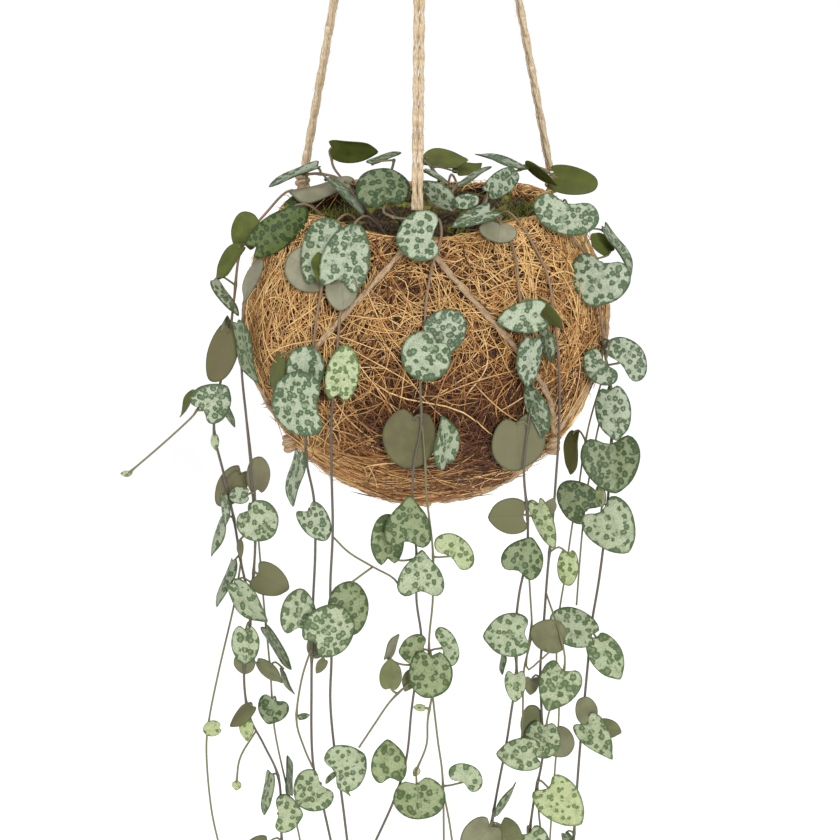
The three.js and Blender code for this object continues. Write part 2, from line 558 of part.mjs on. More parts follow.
// Leaf rows: x, u, lift, length, width, tip angle, roll, pitch, kind
// Kinds: m marbled, d dark marbled, g green, y young, and the undersides o olive, u green, b beige. The second
// letter is the outline: h heart, r round, k kidney, p pointed, v oval
const SPRAYS = [
  {
    name: 'crown_left', hang: -40,
    stems: [
      { root: 22, short: true, route: [[-26, 47, -8], [-33, 56, -14], [-42, 58.5, -6], [-48.5, 58, 11]] },
      { root: 22, short: true, route: [[-26, 49, -16], [-34, 58, -20], [-36.5, 62, -20], [-37, 66, -20]] },
      { root: 16, short: true, route: [[-18, 48, -4], [-13, 60, -8], [-12, 64, -10]] },
    ],
    leaves: [
      [-50, 58.5, 18, 23, 14, 199, 71, 0, 'mv'],
      [-39.5, 53, -8, 28, 18.5, 172, 20, 0, 'bv'],
      [-30, 68.5, -18, 21, 15, 356, 58, 0, 'uv'],
      [-33.5, 51.5, 3, 29.5, 19, 314, -73, 0, 'mv'],
      [-16, 52.5, 5, 19, 21, 105, 10, 0, 'dr'],
      [-16.5, 64.5, -14, 15.5, 9.5, 52, -14, 0, 'gv'],
      [-52, 46.5, -6, 12.5, 8.5, 222, 46, 0, 'dv'],
    ],
  },
  {
    name: 'crown_middle', hang: 10,
    stems: [
      { root: 8, short: true, route: [[4, 47, 2], [6, 56, -6], [3, 61, -14]] },
      { root: 14, short: true, route: [[12, 44, 0], [11, 50, 2], [13, 54, 0]] },
    ],
    leaves: [
      [7, 64, -18, 19, 12.5, 352, 6, 0, 'uv'],
      [17, 60, -22, 14, 9, 47, -8, 0, 'uv'],
      [4, 57.5, -2, 13, 10, 321, -44, 0, 'mv'],
      [18.5, 56.5, 2, 21.5, 12.5, 49, -54, 0, 'mv'],
      [6.5, 49.5, 8, 18, 11.5, 138, 75, 0, 'mv'],
      [16.5, 47.5, 6, 10.5, 6, 14, 40, 0, 'mr'],
    ],
  },
  {
    name: 'crown_right', hang: 50,
    stems: [
      { root: 26, short: true, route: [[24, 46, -2], [28, 54, -6], [38, 60, -8], [46, 61, 3], [50, 59, 3]] },
      { root: 26, short: true, route: [[22, 43, 6], [25, 44, 9], [31, 41, 9]] },
    ],
    leaves: [
      [30.5, 54.5, 2, 23, 9.5, 46, 24, 0, 'mr'],
      [20.5, 41, 15, 18.5, 14.5, 205, 44, 0, 'mp'],
      [32.5, 63, -10, 22.5, 14, 162, 74, 0, 'mv'],
      [45.5, 59, -2, 17, 11, 329, 75, 0, 'uv'],
      [59, 56, 4, 19.5, 12, 351, 20, 0, 'uk'],
      [30, 35.5, 9, 8.5, 14.5, 256, 14, 0, 'br'],
    ],
  },
  {
    name: 'spray_far_left', hang: -73,
    stems: [
      { root: 40, route: [[-63, 43, 2], [-73, 29, 6], [-76, 8, 10], [-78, -8, 14], [-82, -28, 16], [-84, -44, 14],
        [-80, -62, 10], [-76, -80, 6], [-73, -98, 4], [-70, -110, 4]] },
      { thin: true, route: [[-82, -38, 16], [-89, -34, 18], [-93, -39, 20], [-105, -50, 22], [-119, -62, 22]] },
      { thin: true, route: [[-73, -96, 4], [-76, -114, 6], [-82, -140, 8], [-86, -160, 8], [-87, -174, 8],
        [-85, -196, 8], [-81, -214, 8]] },
    ],
    leaves: [
      [-71.5, 35, 6, 15, 12, 87, 10, 0, 'ur'],
      [-77, 24, 12, 18, 13, 237, 55, 0, 'uv'],
      [-80, 10.5, 16, 18.5, 11, 312, -67, 0, 'mv'],
      [-80.5, -12, 16, 24.5, 12, 254, 10, 0, 'or'],
      [-79.5, -3, 13, 9, 6.5, 71, 64, 0, 'gv'],
      [-84.5, -32.5, 22, 15, 16, 44, 8, 0, 'mh'],
      [-94, -32.5, 18, 13, 8, 251, 70, 0, 'uv'],
      [-77.5, -37.5, 14, 10.5, 6.5, 290, 62, 0, 'gv'],
      [-83.5, -48.5, 16, 7, 3.5, 272, 20, 0, 'yv'],
      [-76.5, -66, 4, 18, 12, 238, 16, 0, 'or'],
      [-82.5, -85.5, 10, 17.5, 11, 246, 69, 0, 'mv'],
      [-79.5, -74.5, 12, 13.5, 8.5, 272, 60, 0, 'mv'],
      [-79, -103.5, 8, 22, 13.5, 247, 73, 0, 'mv'],
      [-119, -61.5, 22, 4.5, 2.5, 175, 20, 0, 'yv'],
      [-84.5, -163.5, 11, 7.5, 6.5, 188, 10, 0, 'yr'],
    ],
  },
  {
    name: 'spray_left', hang: -66,
    stems: [
      { root: 36, route: [[-58, 40, 9], [-67, 24, 9], [-72, 4, 8], [-73, -18, 6], [-71, -40, 4], [-69, -62, 2],
        [-67.5, -86, 0], [-68.5, -106, 0], [-70, -126, 2], [-72, -142, 4], [-70, -158, 4], [-64, -170, 3],
        [-58, -184, 2], [-57, -206, 2], [-56, -226, 2]] },
      { thin: true, route: [[-70, -30, 4], [-68.5, -60, -4], [-66, -90, -6], [-64, -114, -6], [-61.5, -140, -5],
        [-60, -162, -4], [-56, -182, -4], [-50, -206, -4], [-47, -226, -4]] },
      { thin: true, route: [[-70, -165, 4], [-73.5, -175, 5], [-75, -185, 5]] },
    ],
    leaves: [
      [-59.5, 35, 16, 27.5, 13.5, 36, 12, 0, 'dr'],
      [-68, 17, 12, 19.5, 12, 251, 62, 0, 'bv'],
      [-71.5, -11, 12, 27, 17.5, 279, 66, 0, 'gv'],
      [-66.5, -62.5, -3.5, 14.5, 9.5, 88, 14, 0, 'or'],
      [-73.5, -70, 6, 8, 8, 182, 30, 0, 'mr'],
      [-66.5, -80, 7, 15.5, 17, 314, 8, 0, 'mr'],
      [-73.5, -91, 4, 8, 5, 275, 58, 0, 'ov'],
      [-61.5, -104, 2, 15.5, 13.5, 335, 10, 0, 'oh'],
      [-71, -111.5, 5, 23, 16, 302, 48, 0, 'mv'],
      [-71.5, -129, 9, 15.5, 11.5, 267, 12, 0, 'mr'],
      [-72, -137, 0, 8.5, 9, 288, 14, 0, 'or'],
      [-62.5, -140, 2, 14.5, 10, 325, 52, 0, 'uv'],
      [-55, -143.5, 0, 12.5, 8, 289, 74, 0, 'gv'],
      [-59.5, -129.5, 0, 22, 14.5, 298, 68, 0, 'gv'],
      [-60.5, -156, 2, 11, 13, 251, 10, 0, 'gh'],
      [-72, -157.5, 8, 13.5, 8, 226, 42, 0, 'ov'],
      [-71, -163, 8, 10, 6.5, 272, 23, 0, 'yv'],
      [-62.5, -188, 4, 19, 12.5, 254, 67, 0, 'mv'],
      [-54, -183.5, -2, 17.5, 11.5, 87, 77, 0, 'gv'],
      [-54.5, -198, 6, 11, 16.5, 358, 12, 0, 'mh'],
      [-75, -186, 5, 4, 4, 268, 20, 0, 'yv'],
      [-66, -213, 6, 15, 13, 230, 24, 0, 'or'],
      [-55, -222, 2, 17, 14, 282, 14, 0, 'mh'],
    ],
  },
  {
    name: 'spray_front_left_high', hang: -42,
    stems: [
      { root: 34, route: [[-38, 34, 5], [-40, 18, 5], [-43, 0, 5], [-45, -18, 5], [-47, -40, 5], [-47, -56, 5],
        [-44, -72, 4], [-43.5, -92, 3], [-44.5, -116, 2], [-45, -146, 2], [-44.5, -176, 2], [-40, -196, 2],
        [-36, -214, 2]] },
      { thin: true, route: [[-47, -130, 3], [-49, -144, 3], [-51, -160, 3], [-48, -171, 3], [-44.5, -179, 2]] },
    ],
    leaves: [
      [-31.5, 24, 12, 25.5, 18.5, 77, 10, 0, 'mk'],
      [-40, 26.5, 7, 26.5, 18.5, 90, 10, 0, 'mr'],
      [-45.5, 20, 4, 20.5, 18.5, 150, 8, 0, 'br'],
      [-32.5, 12, 9, 14, 14, 280, 14, 0, 'br'],
      [-41, 20, 14, 12.5, 10.5, 110, 61, 0, 'uv'],
      [-47.5, -19.5, 10, 15.5, 15, 87, 12, 0, 'mr'],
      [-58.5, -19.5, 6, 15.5, 12.5, 238, 32, 0, 'uv'],
      [-50, -34, 14, 22, 25, 186, 6, 0, 'mk'],
      [-51, -61.5, 8, 23, 14.5, 254, 64, 0, 'mv'],
      [-43.5, -80.5, 6, 15, 11.5, 304, 8, 0, 'mk'],
      [-50, -117, 6, 17, 14, 89, 8, 0, 'mk'],
      [-42.5, -130, 0, 9.5, 8.5, 264, 14, 0, 'or'],
      [-41, -138, 4, 7, 4, 239, 14, 0, 'uv'],
      [-45, -189, 6, 14, 17.5, 218, 8, 0, 'mh'],
      [-48.5, -158.5, 3, 5, 3, 6, 30, 0, 'gv'],
    ],
  },
  {
    name: 'spray_front_left_low', hang: -34,
    stems: [
      { root: 30, route: [[-30, 33, 6], [-33, 8, 5.5], [-35, -16, 5.5], [-37, -40, 6], [-37, -60, 6], [-36.5, -84, 8],
        [-37.5, -108, 8], [-37, -134, 8], [-37.5, -152, 8], [-36, -170, 8], [-33, -190, 8], [-30, -214, 8]] },
      { thin: true, route: [[-36.5, -86, 8], [-30, -93, 9], [-20, -99, 10], [-12, -103.5, 10], [-8, -110, 10]] },
      { thin: true, route: [[-19, -98, 10], [-25, -102, 12], [-29, -105, 12]] },
    ],
    leaves: [
      [-33, -22.5, 13, 21, 12.5, 76, 12, 0, 'yr'],
      [-38.5, -124.5, 15, 19.5, 19.5, 42, 8, 0, 'mr'],
      [-30.5, -116, 9, 20.5, 16, 85, 12, 0, 'dr'],
      [-31, -178, 14, 15, 19, 27, 8, 0, 'mh'],
      [-32, -186.5, 9, 8.5, 6, 294, 68, 0, 'yv'],
      [-37, -183, 9, 6, 4, 222, 62, 0, 'gv'],
    ],
  },
  {
    name: 'spray_front_centre', hang: 0,
    stems: [
      { root: 30, route: [[7, 34, 5], [3.5, 22, 7.5], [1, 8, 6.5], [0, -8, 5], [-1.5, -24, 5], [-1, -42, 5], [-4, -58, 5],
        [-4.5, -74, 5], [-3, -94, 5], [-3, -112, 5], [-1, -128, 5], [-3, -142, 6], [-5, -156, 6], [-7, -175, 6],
        [-12, -192, 6], [-22, -214, 6]] },
      { thin: true, route: [[-1, -40, 5], [0.5, -56, 8], [1, -70, 9], [3.5, -92, 9], [3.5, -112, 9], [2, -130, 9],
        [3.5, -150, 9], [5.5, -168, 9], [7.5, -184, 9], [8, -214, 9]] },
      { thin: true, route: [[3, -150, 9], [1.5, -160, 9], [1, -170, 9], [-3, -180, 9]] },
      { thin: true, route: [[-6, -142, 6], [-13, -152, 7], [-20, -162, 7], [-26, -171, 7]] },
      { thin: true, route: [[8, -188, 9], [10, -200, 9], [12, -214, 9]] },
    ],
    leaves: [
      [9, -4, 10, 15, 16, 40, 8, 0, 'mk'],
      [1, -14, 14, 17.5, 19, 231, 8, 0, 'mr'],
      [-5, -46.5, 8, 23, 20.5, 262, 8, 0, 'ok'],
      [8.5, -50, 10, 21, 16, 90, 51, 0, 'mv'],
      [-6, -81.5, 12, 19, 18, 85, 10, 0, 'dp'],
      [-14.5, -88.5, 6, 19, 13, 90, 16, 0, 'dr'],
      [12.5, -92, 8, 9.5, 18, 51, 14, 0, 'yk'],
      [-1, -102, 15, 17, 18, 88, 8, 0, 'mp'],
      [-4, -132, 8, 10.5, 12.5, 184, 14, 0, 'dh'],
      [9.5, -130.5, 8, 7, 16.5, 20, 14, 0, 'mk'],
      [2.5, -141, 15, 18, 17, 266, 8, 0, 'dr'],
      [-13.5, -142.5, 8, 13, 9, 90, 14, 0, 'uv'],
      [-5.5, -143.5, 2, 9.5, 6, 250, 20, 0, 'ov'],
      [-13, -131.5, 3, 12, 7.5, 71, 62, 0, 'bv'],
      [-14, -177, 9, 16, 14, 92, 10, 0, 'dh'],
      [-2, -191, 13, 16, 20.5, 280, 8, 0, 'dr'],
      [17, -182.5, 8, 8.5, 14.5, 58, 10, 0, 'mk'],
      [-1.5, -155, 9, 5, 3, 174, 30, 0, 'yv'],
      [-3, -180.5, 9, 4, 3, 240, 30, 0, 'yv'],
    ],
  },
  {
    name: 'front_rim_leaf', hang: 0,
    stems: [
      { root: 20, short: true, route: [[-15, 45, 0], [-16, 43, 8], [-12, 41, 18]] },
    ],
    leaves: [
      [-2, 33.5, 17, 15.5, 20.5, 180, 6, 0, 'mk'],
    ],
  },
  {
    name: 'spray_front_right_high', hang: 42,
    stems: [
      { root: 30, route: [[36, 28, 5], [38, 12, 5], [41, -8, 6], [43, -28, 6], [41, -48, 6], [40, -62, 6], [41.5, -80, 6],
        [41, -95, 6], [38, -110, 6], [36.5, -126, 6], [37, -142, 6], [35, -156, 6], [32.5, -172, 6], [29, -190, 6],
        [25, -214, 6]] },
      { thin: true, route: [[41, -92, 6], [42.5, -110, 0], [43, -126, 0], [40, -140, 1], [39.5, -158, 2], [39, -172, 2]] },
      { thin: true, route: [[43.5, -120, 0], [41, -139, 14], [46, -136.5, 16], [51, -132, 16]] },
    ],
    leaves: [
      [40, 1, 10, 19.5, 12.5, 188, 10, 0, 'mh'],
      [49, 3.5, 8, 16, 9.5, 326, 72, 0, 'uv'],
      [49, -9, 8, 15, 9.5, 281, 82, 0, 'mv'],
      [42.5, -15, 13, 20, 14.5, 270, -26, 0, 'mv'],
      [45, -35.5, 11, 23.5, 16, 286, 81, 0, 'mv'],
      [37.5, -48, 7, 23, 21, 284, 8, 0, 'ok'],
      [34, -78.5, 8, 15, 14, 183, 10, 0, 'oh'],
      [48, -81, 10, 20, 10, 286, 40, 0, 'yh'],
      [50, -75, 4, 7.5, 5.5, 67, 26, 0, 'ov'],
      [40, -95, 14, 15, 16.5, 66, 8, 0, 'dh'],
      [33.5, -126, 12, 17.5, 17, 183, 8, 0, 'mh'],
      [31.5, -137, 6, 9, 5.5, 259, 68, 0, 'gv'],
      [36.5, -146, 11, 12, 8.5, 269, 10, 0, 'mh'],
      [38.5, -173.5, 12, 17, 13, 179, 10, 0, 'mh'],
      [43, -161.5, -5, 14, 9, 86, 12, 0, 'ur'],
      [32, -193, 12, 16.5, 10, 56, 72, 0, 'gv'],
      [23, -207, 10, 17, 16, 232, 14, 0, 'br'],
      [33, -206, 4, 14, 13, 300, 18, 0, 'ur'],
    ],
  },
  {
    name: 'spray_front_right_low', hang: 50,
    stems: [
      { root: 34, route: [[48, 22, 6], [52, 2, 6], [54, -20, 6], [54, -44, 5], [53, -60, 4], [51.5, -80, 3], [49.5, -100, 2],
        [48, -120, 2], [46.5, -140, 2], [47, -156, 3], [47.5, -174, 3], [44, -192, 3], [41, -214, 3]] },
      { thin: true, route: [[43.5, -184, 3], [46, -198, 4], [48, -214, 4]] },
      { thin: true, route: [[48.5, -110, 2], [55, -128, 12], [56, -140, 12], [50, -157, 10], [48.5, -166, 6]] },
    ],
    leaves: [
      [57.5, -98.5, 3, 14, 8.5, 268, 12, 0, 'yr'],
      [50.5, -126.5, 10, 14.5, 13, 164, 12, 0, 'ur'],
      [53.5, -146.5, 15, 18.5, 16.5, 247, 8, 0, 'mh'],
      [43, -146, -2, 7, 6, 267, 14, 0, 'uh'],
      [47.5, -167.5, 9, 14.5, 14.5, 262, 8, 0, 'mr'],
      [54, -168.5, 2, 12, 12.5, 297, 12, 0, 'ur'],
      [55, -193, 11, 22, 17.5, 312, 8, 0, 'yh'],
      [44, -210, 10, 15, 13, 300, 14, 0, 'mh'],
    ],
  },
  {
    name: 'spray_right', hang: 68,
    stems: [
      { root: 38, route: [[58, 34, 8], [66, 24, 10], [70, 6, 14], [72.5, -14, 14], [75, -30, 12], [75, -48, 8], [74, -66, 6],
        [72.5, -84, 4], [70, -104, 3], [67, -122, 2], [65.5, -138, 2], [64, -154, 2], [62.5, -170, 2], [61, -190, 2],
        [59.5, -214, 2]] },
      { thin: true, route: [[73.5, -20, 10], [67, -38, 1], [64, -52, 0], [62, -66, 0], [59, -84, 0], [56.5, -102, 0],
        [54, -118, 0], [53, -136, 0], [54, -156, 0], [52.5, -178, 0], [51, -198, 0], [50, -214, 0]] },
      { thin: true, route: [[74.5, -24, 10], [69.5, -44, 5], [67, -58, 4], [65, -70, 2], [63, -88, 0], [61, -114, -2]] },
    ],
    leaves: [
      [56, 42, 26, 13.5, 25.5, 254, 4, 0, 'mk'],
      [76.5, 29.5, 32, 24, 15.5, 308, -71, 0, 'mv'],
      [71.5, 30, 27, 11.5, 8.5, 141, 26, 0, 'uv'],
      [69.5, 16, 20, 19, 23.5, 252, 8, 0, 'mh'],
      [81, -14.5, 28, 11.5, 20.5, 45, 10, 0, 'mk'],
      [70, -19.5, 22, 9.5, 16.5, 220, 10, 0, 'mk'],
      [75.5, -36, 16, 22.5, 14.5, 276, 16, 0, 'mv'],
      [75.5, -57, 12, 22, 23.5, 276, 8, 0, 'gh'],
      [60, -51.5, -4, 19, 14, 272, 69, 0, 'uv'],
      [61, -72.5, 6, 16.5, 16, 134, 12, 0, 'dk'],
      [71, -70, 8, 10, 7, 271, 60, 0, 'yv'],
      [75, -83, 12, 22, 20.5, 303, 8, 0, 'mh'],
      [60.5, -123, 8, 20, 15.5, 155, 12, 0, 'mr'],
      [72.5, -133.5, 8, 22, 13.5, 299, 14, 0, 'mv'],
      [65, -156.5, 6, 11, 9.5, 103, 14, 0, 'ur'],
      [69, -167, 8, 20.5, 13, 305, 12, 0, 'mp'],
      [73.5, -163, 0, 10.5, 8.5, 340, 20, 0, 'uv'],
      [58, -209, 2, 12, 7, 290, 50, 0, 'gv'],
    ],
  },
];

const model = new THREE.Group();
const ball = new THREE.Group();
ball.position.set(0, 0, -BALL_DROP);
model.add(ball);
hanger(ball);
ball.add(named('hanging_loop', hangingLoop(), material(COLOURS.jute, 0.95)));
ball.add(named('coir_wrap', coirWrap(), material(COLOURS.coir)));
ball.add(named('root_ball', rootBall(), material(COLOURS.soil)));
const holes = [];
for (const spec of SPRAYS) {
  ball.add(named(spec.name, spray(spec, holes), material(COLOURS.leaf, 0.6)));
}
for (const spec of BACK_SPRAYS) {
  ball.add(named(spec.name, backSpray(spec, holes), material(COLOURS.leaf, 0.6)));
}
ball.add(named('moss_top', mossTop(holes), material(COLOURS.moss)));

export default model;
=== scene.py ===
"""Surfaces and finishes of a trailing heart-leaved plant in a ball of coconut fibre, hung in a jute hanger.

Shapes are worked out in millimetres from the ball's centre, and put into the frame in metres at the end.
"""

import bpy
import numpy as np
from bpy.props import FloatProperty, FloatVectorProperty, IntProperty, PointerProperty
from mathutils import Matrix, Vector


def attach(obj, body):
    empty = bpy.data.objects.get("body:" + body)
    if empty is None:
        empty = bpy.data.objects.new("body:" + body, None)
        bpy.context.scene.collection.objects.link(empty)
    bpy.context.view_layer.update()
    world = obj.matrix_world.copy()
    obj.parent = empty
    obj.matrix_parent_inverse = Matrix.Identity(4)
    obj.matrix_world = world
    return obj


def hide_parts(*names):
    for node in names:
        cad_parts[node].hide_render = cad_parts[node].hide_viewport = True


bl_info = {
    "name": "Hanging Heart-Leaved Plant",
    "version": (1, 0, 0),
    "blender": (4, 5, 0),
    "location": "3D View > Sidebar > Hanging plant",
    "description": "Coconut-fibre ball, jute hanger, moss and trailing heart-shaped leaves",
    "category": "Object",
}

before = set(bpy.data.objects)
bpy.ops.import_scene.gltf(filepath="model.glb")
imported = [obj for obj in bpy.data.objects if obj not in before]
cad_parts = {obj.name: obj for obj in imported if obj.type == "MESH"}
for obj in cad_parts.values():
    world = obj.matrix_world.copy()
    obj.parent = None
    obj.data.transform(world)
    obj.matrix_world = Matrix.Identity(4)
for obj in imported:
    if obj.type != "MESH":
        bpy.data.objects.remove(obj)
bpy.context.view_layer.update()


def linear(hexa):
    """A screen colour written as six hex digits, turned to the linear values that shaders use."""
    part = np.array([int(hexa[i:i + 2], 16) / 255 for i in (0, 2, 4)])
    return tuple(np.where(part <= 0.04045, part / 12.92, ((part + 0.055) / 1.055) ** 2.4))


def colour(name, hexa, about):
    """A colour property with its default given as a screen colour."""
    return FloatVectorProperty(name=name, description=about, subtype="COLOR", size=3, min=0, max=1,
                               default=linear(hexa))


def size(name, metres, about):
    """A length property in metres."""
    return FloatProperty(name=name, description=about, default=metres, min=0, unit="LENGTH", precision=5)


class BallSettings(bpy.types.PropertyGroup):
    """Sizes and colours of the coconut-fibre ball, its soil and its moss."""
    radius: size("Radius", 0.0708, "Radius of the ball")
    drop: size("Drop", 0.35, "From the top of the hanging loop down to the ball's centre")
    rim: size("Rim height", 0.046, "Height of the open rim above the ball's centre")
    wall: size("Wall", 0.006, "Thickness of the coconut-fibre wall")
    soil: size("Soil height", 0.038, "Height of the soil above the ball's centre")
    fibre: size("Fibre radius", 0.00021, "Radius of a coconut fibre")
    fibres: IntProperty(name="Fibres", description="Number of fibres in a full layer", default=3600, min=100,
                        max=4000)
    gold: colour("Gold", "efc684", "Sun-bleached fibre")
    brown: colour("Brown", "bb8549", "Fibre of middle colour")
    # Red brown is a colour of the fibre itself; low on the front the fibres are pushed to it and darker
    # still, partly as painted shade.
    red: colour("Red brown", "6c4023", "Damp fibre low on the front")
    # Gap is painted shade: a near-black brown on the wall behind the fibres, where the gaps between them fall
    # in shade.
    gap: colour("Gap", "22130a", "Dark gaps behind the fibres")
    moss: colour("Moss", "8b9436", "Fresh moss")
    dry_moss: colour("Dry moss", "6e5a34", "Brown moss")
    soil_colour: colour("Soil", "160e09", "Soil under the moss")


class HangerSettings(bpy.types.PropertyGroup):
    """Sizes and colours of the jute hanger."""
    strand: size("Strand", 0.0024, "Diameter of one jute strand")
    pitch: size("Twist", 0.022, "Length of one turn of a strand's two plies")
    knot_rise: size("Rim knot height", 0.0505, "Height of the rim knots above the ball's centre")
    knot_reach: size("Rim knot reach", 0.0585, "Distance of the rim knots from the upright axis")
    top_knot: size("Top knot", 0.032, "From the top of the loop down to the top knot")
    low_knot: size("Low knot", 0.043, "Depth of the low knots under the ball's centre")
    pale: colour("Pale jute", "e6d6ba", "Clean twine")
    # Jute shade is painted shade for the gap between the plies.
    shade: colour("Jute shade", "b0946e", "Twine between its plies")
    worn: colour("Worn jute", "cfb088", "Twine stained by the damp ball")


class PlantSettings(bpy.types.PropertyGroup):
    """Sizes and colours of the vines."""
    stem: size("Stem radius", 0.00052, "Radius of a main stem")
    thin: size("Thin stem radius", 0.0004, "Radius of a young stem")
    stalk: size("Stalk radius", 0.00042, "Radius of a leaf stalk")
    thickness: size("Leaf thickness", 0.00105, "Thickness in the middle of a leaf")
    silver: colour("Silver", "afb8a2", "Silvery veins of a leaf's face")
    blotch: colour("Blotch", "475b40", "Dark blotches of a leaf's face")
    # Deep colours: partly a leaf's own deeper green and partly painted shade on leaves that lie in shade.
    deep_and_shaded_silver: colour("Deep green", "52642e", "Veins of a darker leaf")
    deep_and_shaded_blotch: colour("Deep blotch", "28381c", "Blotches of a darker leaf")
    young: colour("Young leaf", "b4bd8a", "Young leaf")
    young_blotch: colour("Young blotch", "62753e", "Blotches of a young leaf")
    olive: colour("Olive underside", "5c5a36", "Underside of a leaf")
    green_back: colour("Green underside", "5b662a", "Green underside of a leaf")
    beige: colour("Beige underside", "94917c", "Pale underside of a leaf")
    bark: colour("Stem", "45403a", "Old stem")
    green_bark: colour("Green stem", "85854f", "Young stem")


class StageSettings(bpy.types.PropertyGroup):
    """Light and floor."""
    floor: colour("Floor", "ffffff", "Floor")
    floor_depth: size("Floor depth", 0.75, "From the top of the loop down to the floor")
    key: FloatProperty(name="Key light", description="Strength of the key light", default=2.0, min=0)
    glow: FloatProperty(name="Floor glow", description="Light given off by the floor", default=0.4, min=0)
    top: FloatProperty(name="Top light", description="Power of the light overhead", default=16, min=0,
                       unit="POWER")
    sky: FloatProperty(name="Surround", description="Strength of the white surround", default=0.42, min=0)


def ball():
    """The ball's settings."""
    return bpy.context.scene.plant_ball


def hanger():
    """The hanger's settings."""
    return bpy.context.scene.plant_hanger


def plant():
    """The vines' settings."""
    return bpy.context.scene.plant_vines


def mm(metres):
    """Metres to millimetres."""
    return 1000 * metres


def unit(v):
    """Vectors scaled to length one."""
    return v / np.maximum(np.linalg.norm(v, axis=-1, keepdims=True), 1e-12)


def turns(count):
    """Even angles round a full turn."""
    return np.linspace(0, 2 * np.pi, count, endpoint=False)


def polar(reach, angle, z):
    """Points at a reach from the upright axis, an angle round it and a height."""
    return np.stack(np.broadcast_arrays(reach * np.cos(angle), reach * np.sin(angle), z), axis=-1)


def ease(x):
    """Smooth step from 0 to 1: 3x squared minus 2x cubed, x held between 0 and 1."""
    x = np.clip(x, 0, 1)
    return x * x * (3 - 2 * x)


def seeded(seed):
    """Seeded numbers from 0 to 1, the same series that the solids' back vines are laid out with."""
    state = [seed]

    def draw():
        state[0] = (state[0] + 0x6D2B79F5) & 0xFFFFFFFF
        t = state[0]
        t = ((t ^ (t >> 15)) * (t | 1)) & 0xFFFFFFFF
        t ^= (t + ((t ^ (t >> 7)) * (t | 61))) & 0xFFFFFFFF
        return ((t ^ (t >> 14)) & 0xFFFFFFFF) / 4294967296
    return draw


# Mesh making: metres in a millimetre, fine steps on each span of a line, and millimetres in a flat coordinate

METRES = 0.001
SPAN_STEPS = 24
FLAT_UNIT = 10


def volume(places, quads, threes):
    """Signed volume of a closed skin: the sum of a . (b x c) / 6 over its triangles."""
    faces = np.vstack([quads[:, [0, 1, 2]], quads[:, [0, 2, 3]], threes])
    a, b, c = (places[faces[:, k]] for k in range(3))
    return np.sum(a * np.cross(b, c)) / 6


def closed_rings(rings, start, end):
    """Closed skin over rings of points stacked from a start pole to an end pole, facing outwards."""
    count, around = rings.shape[:2]
    places = np.vstack([start[None], rings.reshape(-1, 3), end[None]])
    i = np.arange(around)
    j = (i + 1) % around
    k = np.arange(count - 1)[:, None] * around + 1
    quads = np.stack([k + i, k + j, k + around + j, k + around + i], axis=-1).reshape(-1, 4)
    low = np.stack([np.zeros(around, int), j + 1, i + 1], axis=-1)
    base = 1 + (count - 1) * around
    high = np.stack([np.full(around, len(places) - 1), base + i, base + j], axis=-1)
    caps = np.vstack([low, high])
    if volume(places - places.mean(axis=0), quads, caps) < 0:
        quads, caps = quads[:, ::-1], caps[:, ::-1]
    return places, quads, caps


class Pile:
    """Closed shapes gathered into one mesh, with point values that the finishes read."""

    def __init__(self, *values):
        self.names = values
        self.places, self.threes, self.fours, self.slots3, self.slots4 = [], [], [], [], []
        self.values, self.flat, self.count = [], [], 0

    def add(self, places, fours, threes, slot=0, flat=None, slots4=None, slots3=None, **values):
        """Adds one shape: its points, its faces, a slot for all or for each face, flat places and values."""
        self.places.append(places)
        self.fours.append(fours + self.count)
        self.threes.append(threes + self.count)
        self.slots4.append(np.full(len(fours), slot) if slots4 is None else slots4)
        self.slots3.append(np.full(len(threes), slot) if slots3 is None else slots3)
        self.flat.append(np.zeros((len(places), 2)) if flat is None else flat)
        columns = [np.broadcast_to(values.get(n, 0.0), len(places)) for n in self.names]
        self.values.append(np.stack(columns, axis=1) if columns else np.zeros((len(places), 0)))
        self.count += len(places)

    def piece(self, name, finishes, nodes=(), slot=None):
        """Makes the object, with its place in its mesh, gives it its body and hides the parts of its nodes.
        Its slot is not used.
        """
        places = np.vstack(self.places) * METRES
        places[:, 2] -= ball().drop
        fours, threes = np.vstack(self.fours).astype(int), np.vstack(self.threes).astype(int)
        corners = np.concatenate([fours.ravel(), threes.ravel()])
        starts = np.concatenate([np.arange(len(fours)) * 4, len(fours) * 4 + np.arange(len(threes)) * 3])
        mesh = bpy.data.meshes.new(name)
        mesh.vertices.add(len(places))
        mesh.vertices.foreach_set("co", places.astype(np.float32).ravel())
        mesh.loops.add(len(corners))
        mesh.loops.foreach_set("vertex_index", corners.astype(np.int32))
        mesh.polygons.add(len(starts))
        mesh.polygons.foreach_set("loop_start", starts.astype(np.int32))
        mesh.polygons.foreach_set("use_smooth", np.ones(len(starts), bool))
        slots = np.concatenate([*self.slots4, *self.slots3]).astype(np.int32)
        mesh.polygons.foreach_set("material_index", slots)
        mesh.update(calc_edges=True)
        layer = mesh.uv_layers.new(name="flat")
        layer.data.foreach_set("uv", np.vstack(self.flat)[corners].astype(np.float32).ravel())
        values = np.vstack(self.values).astype(np.float32)
        for k, label in enumerate(self.names):
            mesh.attributes.new(label, "FLOAT", "POINT").data.foreach_set("value", values[:, k].copy())
        for finish in finishes:
            mesh.materials.append(finish)
        made = bpy.data.objects.new(name, mesh)
        bpy.context.scene.collection.objects.link(made)
        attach(made, "root")
        if nodes:
            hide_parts(*nodes)
        return made


